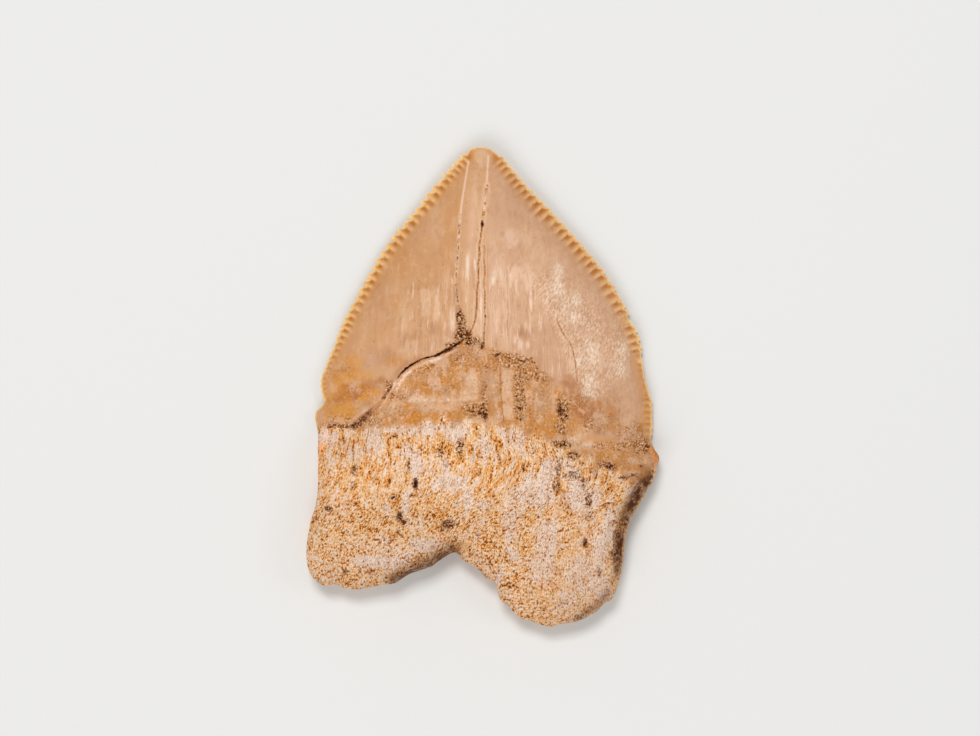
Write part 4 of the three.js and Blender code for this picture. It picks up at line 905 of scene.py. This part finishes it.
    mesh = obj.data
    layer = mesh.attributes.new("paint", "FLOAT_COLOR", "POINT")
    layer.data.foreach_set("color", packed(paint, np.ones(len(x))))
    white = patches(x, y, whitePatches) + 0.3 * rough(x, y, 1.1, 41)
    grains = mix(1, ease(lumps(x, y, 0.12, seed=63), -0.5, 0.3), 0.8 * ease(x, -2.8, -1.7))
    ribbed = mix(ease(y, -7.5, -5.0), 0.5 * ease(y, -13, -10), ease(x, 2.2, 3.6) * ease(-5.5 - y, 0, 1))
    fields = {  # read by the material
        "enamel": enamel, "smooth": smooth, "wrinkled": m["wrinkles"], "frostSheen": m["frostSheen"], "glint": m["glint"],
        "stain": np.clip(patches(x, y, stainPatches), 0, 1), "soil": m["soil"], "sandy": m["sandy"],
        "porous": m["porous"], "white": white, "ribbed": ribbed * m["porous"],
        "crisp": m["porous"] * mix(0.2, 1, hump(spread(x, y, 0.5, -5, 10, 8.5), 1)),
        "calm": m["porous"] * ease(x, 1.0, 4.0) * ease(-y, 7.5, 10.5),
        "gap": m["gap"] * grains, "gapEnd": m["gapEnd"], "dark": m["dark"], "wallShade": wallShade * (1 - litRim),
        "litRim": litRim, **m["inks"],
    }
    for name, values in fields.items():
        field = mesh.attributes.new(name, "FLOAT", "POINT")
        field.data.foreach_set("value", packed(np.clip(values, -2, 2)))
    grainWay = mesh.attributes.new("grainWay", "FLOAT_VECTOR", "POINT")  # millimetres across, along and up
    grainWay.data.foreach_set("vector", packed(m["flow"], y, -0.4 * m["level"]))
    print("painted fields:", len(fields) + 2)


finish = {
    "rootRoughness": 0.75,
    "enamelRoughness": 0.3,
    "sandRoughness": 0.2,  # added
    "specular": 0.15,
    "boneBump": 0.13,
    "neckBump": 0.12,
    "soilBump": 0.15,
    "sandBump": 0.1,
    "frostBump": 0.06,
    "enamelBump": 0.005,
    "wrinkleBump": 0.03,
}


def toothMaterial():
    mat = bpy.data.materials.new("fossil tooth")
    mat.use_nodes = True
    tree = mat.node_tree
    tree.nodes.clear()

    def add(kind, **settings):
        node = tree.nodes.new(kind)
        for key, value in settings.items():
            setattr(node, key, value)
        return node

    def feed(node, socket, value):
        if isinstance(value, bpy.types.NodeSocket):
            tree.links.new(value, node.inputs[socket])
        else:
            node.inputs[socket].default_value = value

    def attribute(name, output="Fac"):
        return add("ShaderNodeAttribute", attribute_name=name).outputs[output]

    def calc(operation, a, b=0.0):
        node = add("ShaderNodeMath", operation=operation)
        feed(node, 0, a)
        feed(node, 1, b)
        return node.outputs[0]

    def times(*values):
        total = values[0]
        for value in values[1:]:
            total = calc("MULTIPLY", total, value)
        return total

    def plus(*values):
        total = values[0]
        for value in values[1:]:
            total = calc("ADD", total, value)
        return total

    def less(value):
        return calc("SUBTRACT", 1.0, value)

    def centred(value):
        return calc("SUBTRACT", value, 0.5)

    def remap(value, low, high, toLow=0.0, toHigh=1.0):
        node = add("ShaderNodeMapRange", interpolation_type="SMOOTHSTEP")
        for socket, v in enumerate((value, low, high, toLow, toHigh)):
            feed(node, socket, v)
        return node.outputs[0]

    def rgba(name):
        return (*tone(name), 1)

    def blend(fac, a, b):  # b may be a colour's name
        node = add("ShaderNodeMix", data_type="RGBA")
        feed(node, 0, fac)
        feed(node, 6, a)
        feed(node, 7, rgba(b) if isinstance(b, str) else b)
        return node.outputs[2]

    def stretched(vector, scale):
        node = add("ShaderNodeMapping")
        feed(node, "Vector", vector)
        feed(node, "Scale", scale)
        return node.outputs[0]

    def noise(vector, scale, detail=2.0, roughness=0.55, distortion=0.0):
        node = add("ShaderNodeTexNoise")
        for socket, v in {"Vector": vector, "Scale": scale, "Detail": detail, "Roughness": roughness,
                          "Distortion": distortion}.items():
            feed(node, socket, v)
        return node.outputs["Fac"]

    def cells(vector, scale):
        node = add("ShaderNodeTexVoronoi", feature="F1")
        feed(node, "Vector", vector)
        feed(node, "Scale", scale)
        return node.outputs["Distance"]

    def ramp(value, *stops):
        node = add("ShaderNodeValToRGB")
        feed(node, 0, value)
        elements = node.color_ramp.elements
        elements[0].position, elements[0].color = stops[0][0], rgba(stops[0][1])
        elements[1].position, elements[1].color = stops[-1][0], rgba(stops[-1][1])
        for at, name in stops[1:-1]:
            elements.new(at).color = rgba(name)
        return node.outputs[0]

    way = attribute("grainWay", "Vector")
    place = add("ShaderNodeTexCoord").outputs["Object"]
    enamel, porous, ribbed = attribute("enamel"), attribute("porous"), attribute("ribbed")
    neck = calc("MAXIMUM", less(enamel), attribute("stain"))
    neck = times(neck, less(porous), less(times(attribute("smooth"), 0.65)))

    grains = plus(noise(stretched(way, (1, 0.85, 1)), 8.2, 2, 0.8),
                  times(calc("SUBTRACT", 0.53, cells(stretched(way, (1, 0.8, 1)), 6.8)), 0.35))
    ribs = plus(times(noise(stretched(way, (1, 0.2, 1)), 5.0, 3, 0.72, 0.3), 0.65),
                times(noise(stretched(way, (1, 0.22, 1)), 2.3, 2, 0.6, 0.3), 0.35))
    ribs = plus(0.5, times(centred(ribs), 1.3))
    cloud = noise(way, 1.6, 2, 0.5)
    fibre = calc("ADD", grains, times(ribbed, 0.7, calc("SUBTRACT", ribs, grains)))
    fibre = plus(0.52, times(centred(fibre), remap(ribbed, 0, 1, 1.25, 1.7)))
    salt = noise(stretched(way, (1, 0.6, 1)), 13, 1, 0.6)
    hairline = noise(stretched(way, (1, 0.2, 1)), 11, 1, 0.6)
    salt = plus(salt, times(ribbed, 0.4, calc("SUBTRACT", hairline, salt)))
    white = attribute("white")
    boneLevel = plus(fibre, times(centred(salt), plus(1.0, times(ribbed, 0.3))), times(centred(cloud), 0.7),
                     times(white, 0.05), times(ribbed, -0.005), 0.035)
    orangeBone = ramp(boneLevel, (0.26, "bonePore"), (0.33, "boneOrange"), (0.43, "bone"), (0.53, "boneCream"),
                      (0.62, "bonePale"), (0.76, "whitePale"))
    whiteBone = ramp(boneLevel, (0.2, "bonePore"), (0.31, "whiteOrange"), (0.41, "whiteBone"), (0.52, "whiteCream"),
                     (0.63, "whitePale"))
    bone = blend(remap(plus(white, times(centred(fibre), 2.0)), -0.1, 0.75), orangeBone, whiteBone)
    bone = blend(times(attribute("calm"), 0.25), bone, "calmBone")
    ochre = noise(stretched(way, (1, 0.6, 1)), 3.5, 3, 0.7)
    bone = blend(remap(ochre, 0.56, 0.68, 0, 0.4), bone, "boneOrange")
    pits = times(remap(cells(stretched(way, (1, 0.75, 1)), 4.2), 0.2, 0.12), remap(ochre, 0.5, 0.42))
    bone = blend(times(pits, 0.7), bone, "bonePore")
    dots = times(remap(cells(stretched(way, (1, 0.7, 1)), 2.3), 0.15, 0.08), remap(cloud, 0.48, 0.56))
    bone = blend(times(dots, 0.8), bone, "bonePore")

    fine = noise(place, 7500, 2, 0.6)
    flecks = noise(place, 2600, 3, 0.6)
    specks = noise(place, 4800, 3, 0.75, 0.4)
    patchy = noise(place, 1300, 3, 0.6)
    mottle = noise(place, 1700, 4, 0.65)
    streaks = noise(stretched(place, (1, 0.25, 1)), 2400, 3, 0.65)
    lines = noise(stretched(place, (1, 0.12, 1)), 2600, 3, 0.65)
    hairs = noise(stretched(place, (1, 0.1, 1)), 5000, 2, 0.6)
    slant = add("ShaderNodeMapping", vector_type="TEXTURE")
    feed(slant, "Vector", place)
    feed(slant, "Rotation", (0, 0, math.radians(62)))
    feed(slant, "Scale", (2.6, 1, 1))
    sparkle = noise(slant.outputs[0], 10500, 2, 0.65, 0.2)
    frostSheen, wrinkled, unstained = attribute("frostSheen"), attribute("wrinkled"), less(attribute("stain"))
    plainNeck, plainEnamel, frostSheenMask = times(neck, unstained), times(enamel, unstained), remap(frostSheen, 0, 0.7)
    tints = [  # where, pattern, its values at no tint and at most, most, colour
        (neck, flecks, 0.44, 0.34, 0.75, "neckOrange"), (neck, flecks, 0.58, 0.68, 0.5, "neckPale"),
        (neck, patchy, 0.52, 0.6, 0.5, "neckOrange"), (neck, patchy, 0.46, 0.37, 0.5, "neckPale"),
        (plainNeck, streaks, 0.45, 0.37, 0.4, "neckBrown"), (plainNeck, streaks, 0.55, 0.64, 0.55, "neckPale"),
        (neck, fine, 0.38, 0.28, 0.7, "soilBrown"), (neck, fine, 0.6, 0.72, 0.6, "boneCream"),
        (enamel, mottle, 0.47, 0.34, 0.22, "enamelBrown"), (enamel, mottle, 0.55, 0.68, 0.3, "enamelPale"),
        (plainEnamel, lines, 0.46, 0.34, 0.2, "enamelBrown"), (plainEnamel, lines, 0.54, 0.68, 0.28, "enamelPale"),
        # the pale hairline streaks along the wrinkles are painted highlights; the pale and dark sparkle on the
        # crinkled enamel is painted highlight and painted shade
        (wrinkled, hairs, 0.46, 0.32, 0.35, "enamelBrown"), (wrinkled, hairs, 0.56, 0.7, 0.4, "frostSheen"),
        (frostSheenMask, sparkle, 0.51, 0.66, 0.45, "frostSheen"), (frostSheenMask, sparkle, 0.47, 0.35, 0.45, "enamelBrown"),
    ]
    colour = attribute("paint", "Color")
    for where, pattern, none, full, most, name in tints:
        colour = blend(times(where, remap(pattern, none, full, 0, most)), colour, name)
    colour = blend(times(attribute("glint"), remap(sparkle, 0.4, 0.66, 0.16, 0.55)), colour, "glint")
    colour = blend(times(porous, less(attribute("litRim"))), colour, bone)

    grit = plus(times(noise(place, 8500, 2, 0.75), 1.25), times(calc("SUBTRACT", 0.54, cells(place, 9000)), 0.4),
                -0.125)
    sand = ramp(grit, (0.32, "soil"), (0.39, "soilBrown"), (0.46, "neckOrange"), (0.55, "neck"), (0.67, "neckPale"),
                (0.8, "boneWhite"))
    dirt = ramp(grit, (0.38, "shade"), (0.45, "soil"), (0.51, "soilBrown"), (0.57, "neckOrange"),
                (0.65, "neckPale"), (0.76, "boneWhite"))
    sandy, soil = attribute("sandy"), attribute("soil")
    colour = blend(remap(plus(sandy, times(centred(flecks), 2.0)), 0.2, 0.85, 0, 0.85), colour, sand)
    colour = blend(remap(plus(soil, times(centred(specks), 3.0)), 0.4, 0.95, 0, 0.95), colour, dirt)
    # painted shade on the root's side walls
    colour = blend(times(attribute("wallShade"), remap(flecks, 0.66, 0.42, 0.6, 1.0)), colour, "wallShade")
    broken = remap(grit, 0.62, 0.45, 0.4, 1.0)
    for name in ("crackOrange", "crackSoil"):
        ink = attribute(name)
        colour = blend(times(plus(remap(ink, 0.5, 0.9, 0, 0.6), times(ink, 0.4)), broken), colour, name)
    # painted shade in the pits
    dark = attribute("dark")
    colour = blend(times(dark, 0.5), colour, "soilBrown")
    colour = blend(remap(plus(dark, times(centred(grit), -1.6)), 0.4, 0.8, 0, 0.9), colour, "soil")
    colour = blend(times(remap(dark, 0.1, 0.4), remap(plus(specks, times(dark, -0.45)), 0.2, 0.0)), colour, "shade")
    # painted shadow in the gap under the enamel's overhanging edge
    gap, gapEnd = attribute("gap"), attribute("gapEnd")
    colour = blend(times(remap(gap, 0.0, 0.4), 0.9), colour, "wallShade")
    colour = blend(times(remap(gap, 0.3, 0.8), broken), colour, "shade")
    # painted shade in the grooves at the gap's lower end and along the fold
    colour = blend(times(gapEnd, 0.5), colour, "soilBrown")
    colour = blend(times(gapEnd, remap(grit, 0.52, 0.42)), colour, "shade")
    # brightness follows the fine grain, and on the crinkled enamel the painted sparkle
    shade = add("ShaderNodeVectorMath", operation="SCALE")
    feed(shade, 0, colour)
    feed(shade, "Scale", plus(1.0, times(less(enamel), centred(fine), 0.6),
                              times(attribute("crisp"), centred(salt), 1.05), times(frostSheen, centred(sparkle), 0.35)))

    bumps = [(boneLevel, porous, "boneBump"), (flecks, neck, "neckBump"), (specks, soil, "soilBump"),
             (specks, sandy, "sandBump"), (sparkle, frostSheen, "frostBump"), (sparkle, enamel, "enamelBump"),
             (hairs, wrinkled, "wrinkleBump")]
    height = plus(*[times(pattern, where, finish[name]) for pattern, where, name in bumps])
    bump = add("ShaderNodeBump")
    feed(bump, "Strength", 1.0)
    feed(bump, "Distance", mm)
    feed(bump, "Height", height)

    skin = add("ShaderNodeBsdfPrincipled")
    feed(skin, "Base Color", shade.outputs[0])
    feed(skin, "Roughness", plus(remap(enamel, 0, 1, finish["rootRoughness"], finish["enamelRoughness"]),
                                 times(sandy, finish["sandRoughness"])))
    feed(skin, "Normal", bump.outputs[0])
    feed(skin, "Specular IOR Level", finish["specular"])
    out = add("ShaderNodeOutputMaterial")
    tree.links.new(skin.outputs[0], out.inputs["Surface"])
    return mat


tooth = buildTooth()
marks = shapeTooth(tooth)
paintTooth(tooth, marks)
bpy.ops.object.select_all(action="DESELECT")
tooth.select_set(True)
bpy.context.view_layer.objects.active = tooth
bpy.ops.object.mode_set(mode="EDIT")
bpy.ops.mesh.select_all(action="SELECT")
bpy.ops.mesh.normals_make_consistent(inside=False)
bpy.ops.object.mode_set(mode="OBJECT")
bpy.ops.object.shade_smooth()
tooth.data.materials.append(toothMaterial())
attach(tooth, "root")
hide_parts("shark_tooth")
print("tooth faces:", len(tooth.data.polygons), "triangles:", sum(len(p.vertices) - 2 for p in tooth.data.polygons))

studio = {
    "floor": (0.8, 0.8, 0.79),
    "lights": [  # name, azimuth of the source from +X, angle from straight up, distance, size, power
        ("key", 105, 22, 0.40, 0.10, 0.73),
        ("side", 10, 42, 0.40, 0.12, 0.10),
        ("fill", 250, 42, 0.45, 0.30, 0.69),
    ],
    "world": 0.36,
    "worldTint": (1, 0.985, 0.96),
    "frameWidth": 55.47,
    "frameCentre": (0.40, 1.02),
    "frameHeight": 1.1,  # of the tooth's rim
    "lens": 100,
    "sensor": 36,
}


def buildStudio():
    bpy.ops.object.select_all(action="DESELECT")
    bpy.ops.mesh.primitive_plane_add(size=3, location=(0, 0, 0))
    floor = bpy.context.object
    floor.name = "floor"
    paper = bpy.data.materials.new("paper")
    paper.use_nodes = True
    surface = paper.node_tree.nodes["Principled BSDF"].inputs
    surface["Base Color"].default_value = (*studio["floor"], 1)
    surface["Roughness"].default_value = 0.9
    floor.data.materials.append(paper)
    for name, azimuth, tilt, distance, size, power in studio["lights"]:
        a, t = math.radians(azimuth), math.radians(tilt)
        at = Vector((math.cos(a) * math.sin(t), math.sin(a) * math.sin(t), math.cos(t))) * distance
        bpy.ops.object.light_add(type="AREA", location=at)
        lamp = bpy.context.object
        lamp.name = name
        lamp.rotation_euler = at.to_track_quat("Z", "Y").to_euler()
        lamp.data.size = size
        lamp.data.energy = power
    world = bpy.data.worlds.new("studio")
    bpy.context.scene.world = world
    world.use_nodes = True
    background = world.node_tree.nodes["Background"].inputs
    background["Color"].default_value = (*studio["worldTint"], 1)
    background["Strength"].default_value = studio["world"]
    print("lights:", len(studio["lights"]))


def buildCamera():
    x, y = studio["frameCentre"]
    z = studio["frameWidth"] * studio["lens"] / studio["sensor"] + studio["frameHeight"]
    bpy.ops.object.camera_add(location=(x * mm, y * mm, z * mm), rotation=(0, 0, 0))
    camera = bpy.context.object
    camera.data.lens = studio["lens"]
    camera.data.sensor_width = studio["sensor"]
    camera.data.clip_start = 0.005
    bpy.context.scene.camera = camera
    bpy.context.scene.view_settings.view_transform = "Standard"


buildStudio()
buildCamera()
